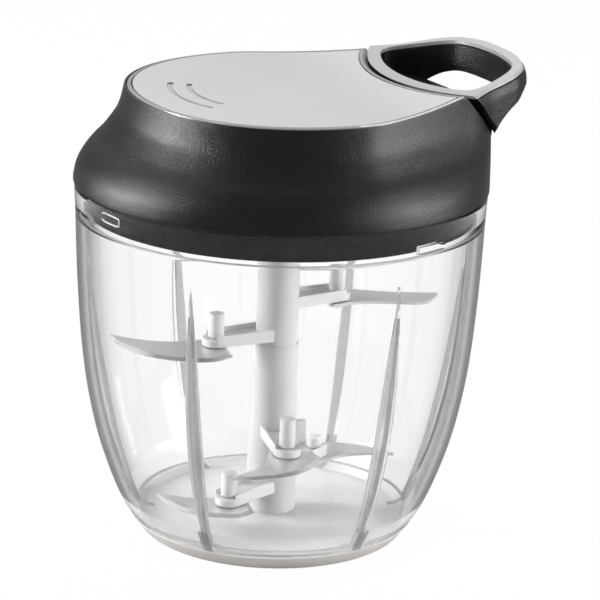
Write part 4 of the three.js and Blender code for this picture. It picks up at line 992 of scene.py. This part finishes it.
def makeBand():
    s = bandStyle
    inner, flangeTop, floorTop = s["radius"] - s["wall"], s["top"] + s["thick"], s["floor"] + s["thick"]
    band = revolve("coverBand", rounded([
        (s["bore"], s["floor"]), (inner, s["floor"]), (inner, s["bottom"]), (s["radius"], s["bottom"]),
        (s["radius"], s["top"]), (s["flange"], s["top"]), (s["flange"], flangeTop), (inner, flangeTop),
        (inner, floorTop), (s["bore"], floorTop),
    ], s["edge"]), steps=s["around"])
    for i in range(lugStyle["count"]):
        notch = ringPiece("notch", **s["notch"])
        combine(band, turnedBy(notch, lugStyle["start"] + 360 * i / lugStyle["count"]))
    for i in range(s["screws"]["count"]):
        hole = drill(**s["screwHole"])
        combine(band, turnedBy(hole, s["screws"]["start"] + 360 * i / s["screws"]["count"]))
    soften(band, angle=40)
    finishPiece(band, "band", "lid", ["inner_cover"])


makeBand()

handleStyle = {
    "reach": 77.8, "tail": 20, "gap": 1.7, "flare": 1.5, "flareDepth": 5.0, "depths": (30, 5, 4, 3, 2, 1, 0, -20),
    "sides": [  # x and y, as shares of the reach
        (0.617, 0.508), (0.72, 0.44), (0.823, 0.393), (0.887, 0.359), (0.951, 0.287), (0.992, 0.154), (1, 0),
    ],
    "under": [  # outward and up, as shares of the spread and the rise
        (0, 0), (0.03, 0.06), (0.065, 0.17), (0.112, 0.29), (0.224, 0.453), (0.424, 0.616),
        (0.672, 0.758), (0.83, 0.905), (0.95, 0.985), (1.3, 1.12),
    ],
    "underRadius": 66.9, "underSpread": 12.5, "underRise": 19, "ledge": 131.8, "past": 100, "pastRise": 18, "over": 172,
    "inlay": 1.2, "inlayGap": 0.3, "inlayOver": 1, "margin": 0.35, "edge": 0.35, "inlayEdge": 0.2,
    "bore": {"radius": 1.4, "start": 20, "end": 58}, "knotPocket": {"radius": 2.8, "start": 55, "end": 61},
}
holeStyle = {
    "start": 41.3, "end": 74.2, "half": 33, "drop": 3.6, "draft": 0.13, "deep": 20,
    "sides": [  # x and y, as shares of the length and the half width
        (0, 0), (0.03, 0.36), (0.1, 0.64), (0.21, 0.9), (0.34, 0.97), (0.58, 0.87), (0.84, 0.69), (0.955, 0.46), (1, 0),
    ],
    # the slope at the hole's foot: along and up from the hole's start, and then from the lid's side
    "slopeStart": [(-1, 2.6), (1.8, 1.5), (4.5, -0.4), (14, -2.9)], "slopeEnd": [(-2, 0.6), (10, -3.2)],
    "endRadius": 67.0, "endHeight": 140.7, "back": 20, "past": 20, "low": 110, "span": 52, "side": (100, 175),
}


def handleOutline():
    half = np.array(handleStyle["sides"]) * handleStyle["reach"]
    lower = half * np.array([1, -1])
    nose = smoothCurve(np.vstack([lower, half[-2::-1]]), steps=10)
    back = seatStyle["x"] - handleStyle["tail"]
    return np.vstack([[(back, nose[0][1])], nose, [(back, nose[-1][1])]])


def fingerOutline(margin):
    s = holeStyle
    half = np.array([(s["start"] + x * (s["end"] - s["start"]), y * s["half"]) for x, y in s["sides"]])
    lower = half * np.array([1, -1])
    return inset(smoothCurve(np.vstack([lower, half[-2:0:-1]]), steps=8, closed=True), -margin)


def handleForm(topOffset, margin):
    s = handleStyle
    outline = handleOutline()
    rings = []
    for depth in s["depths"]:
        share = min(max(depth, 0) / s["flareDepth"], 1)
        flare = s["flare"] * (1 - (1 - share) ** 2)
        rings.append(lifted(inset(outline, margin - flare), topHeight(outline[:, 0]) - depth))
    return combine(loft("handleForm", rings), belowTop(-topOffset), "INTERSECT")


def aboveUnderside():
    s = handleStyle
    sweep = [
        (s["underRadius"] + s["underSpread"] * out, s["ledge"] + s["underRise"] * up)
        for out, up in smoothCurve(s["under"], steps=6)
    ]
    beyond = [(s["past"], sweep[-1][1] + s["pastRise"]), (s["past"], s["over"]), (0, s["over"])]
    return revolve("aboveUnderside", [(0, s["ledge"]), *sweep, *beyond], steps=240)


def fingerHole():
    s, crown = holeStyle, topStyle["crown"]
    through = loft("through", [
        lifted(fingerOutline(s["draft"] * s["deep"]), crown - s["deep"]), lifted(fingerOutline(0), crown),
        lifted(fingerOutline(0), crown + s["deep"]),
    ])
    start = float(topHeight(s["start"])) - s["drop"]
    fromStart = [(s["start"] + x, start + up) for x, up in s["slopeStart"]]
    toEnd = [(s["endRadius"] + x, s["endHeight"] + up) for x, up in s["slopeEnd"]]
    behind = [(s["back"], fromStart[0][1])]
    below = [(s["endRadius"] + s["past"], s["low"]), (s["back"], s["low"])]
    scoop = acrossY("scoop", np.vstack([behind, smoothCurve(fromStart + toEnd, steps=8), below]), s["span"])
    low, high = s["side"]
    side = revolve("lidSide", [(0, low), (s["endRadius"], low), (s["endRadius"], high), (0, high)], steps=240)
    combine(scoop, side, "INTERSECT")
    return combine(through, scoop)


def makeHandle():
    s = handleStyle
    body = handleForm(-s["inlay"] - s["inlayGap"], 0)
    combine(body, seatPocket(s["gap"], 0), "INTERSECT")
    combine(body, aboveUnderside(), "INTERSECT")
    combine(body, fingerHole())
    for name in ("bore", "knotPocket"):
        combine(body, rod(name, height=cordHeight, **s[name]))
    soften(body, s["edge"], angle=38)
    finishPiece(body, "black", "handle", ["handle_body"])

    inlay = handleForm(0, s["margin"])
    combine(inlay, topBand(-s["inlay"], s["inlayOver"]), "INTERSECT")
    combine(inlay, seatPocket(s["gap"] + s["margin"], 0), "INTERSECT")
    combine(inlay, lidColumn("hole", fingerOutline(s["margin"]), high=s["over"]))
    soften(inlay, s["inlayEdge"], angle=35)
    finishPiece(inlay, "ring", "handle", ["handle_inlay"])


makeHandle()
print("handle made")

# the cord leaves its winding straight for the eyelet, bends there, and runs out to the knot
cordStyle = {
    "radius": 0.8, "winding": 20, "pitch": 2.1, "turns": 3.3, "bottom": 130.47, "short": 0.042, "bend": 34.8,
    "straight": 0.94, "bendBefore": 0.03, "bendAfter": 0.9, "bendEnd": 2, "knot": 58.0, "knotStart": 2,
    "knotDeep": 0.55, "knotWide": 0.42,
}


def windingPoint(turns):  # turns is 0 where the cord leaves the drum, and less before it
    s = cordStyle
    angle = -math.acos(s["winding"] / s["bend"]) + turn * turns
    height = s["bottom"] + s["pitch"] * (s["turns"] + turns)
    return np.array([s["winding"] * math.cos(angle), s["winding"] * math.sin(angle), height])


def makeCord():
    s = cordStyle
    count = 120
    route = [windingPoint(-s["turns"] * (1 - i / count) - s["short"] * i / count) for i in range(count + 1)]
    wound = tube("cordWinding", route, s["radius"])
    finishPiece(soften(wound, angle=60), "cord", "drum", ["wound_cord"])

    start, bend = windingPoint(0), np.array([s["bend"], 0, cordHeight])
    inside = [start + (bend - start) * t for t in np.linspace(0, s["straight"], 12)]
    corner = [bend + (start - bend) * s["bendBefore"], bend + np.array([s["bendAfter"], 0, 0])]
    alongX = np.linspace(s["bend"] + s["bendEnd"], s["knot"] - s["knotStart"], 60)
    run = tube("pullCord", inside + corner + [np.array([x, 0, cordHeight]) for x in alongX], s["radius"])
    soften(run, angle=60)
    finishPiece(run, "cord", None, ["pull_cord"])
    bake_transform(run)

    t = np.linspace(0, turn, 49)[:-1]
    loop = np.column_stack([
        np.sin(3 * t) * s["knotDeep"], (np.sin(t) + 2 * np.sin(2 * t)) * s["knotWide"],
        (np.cos(t) - 2 * np.cos(2 * t)) * s["knotWide"],
    ])
    loop += np.array([s["knot"], 0, cordHeight])
    knot = tube("cordKnot", loop, s["radius"], across=(1, 0, 0), closed=True)
    finishPiece(soften(knot, angle=60), "cord", "handle", ["cord_knot"])


makeCord()


def makeMark():
    s, radius = bandStyle["mark"], bandStyle["radius"]
    t = np.linspace(0, turn, 41)
    wide, tall = s["size"]
    along = np.sign(np.cos(t)) * np.abs(np.cos(t)) ** s["square"] * wide / 2 / radius + math.radians(s["turned"])
    height = s["height"] + np.sign(np.sin(t)) * np.abs(np.sin(t)) ** s["square"] * tall / 2
    mark = tube("bandMark", lifted(arc(radius + s["proud"], along), height), s["line"], sides=8)
    # the raised outline is coated in the lighter silver, a painted highlight for the light line it shows on the dark
    # band
    finishPiece(soften(mark, angle=60), "ring", "lid")


makeMark()
print("cord and mark made")

# solids that keep their shape
kept = {
    "steel": [
        "axle", "retaining_clip", "axle_washer", "return_spring",
        "cover_screw_1", "cover_screw_2", "cover_screw_3", "cover_screw_4",
    ],
    "milky": ["spring_cup", "spring_cap", "cord_drum", "drive_socket"],
    "nylon": ["cord_eyelet"],
}
for finish, names in kept.items():
    for name in names:
        coat(solids[name], finish)
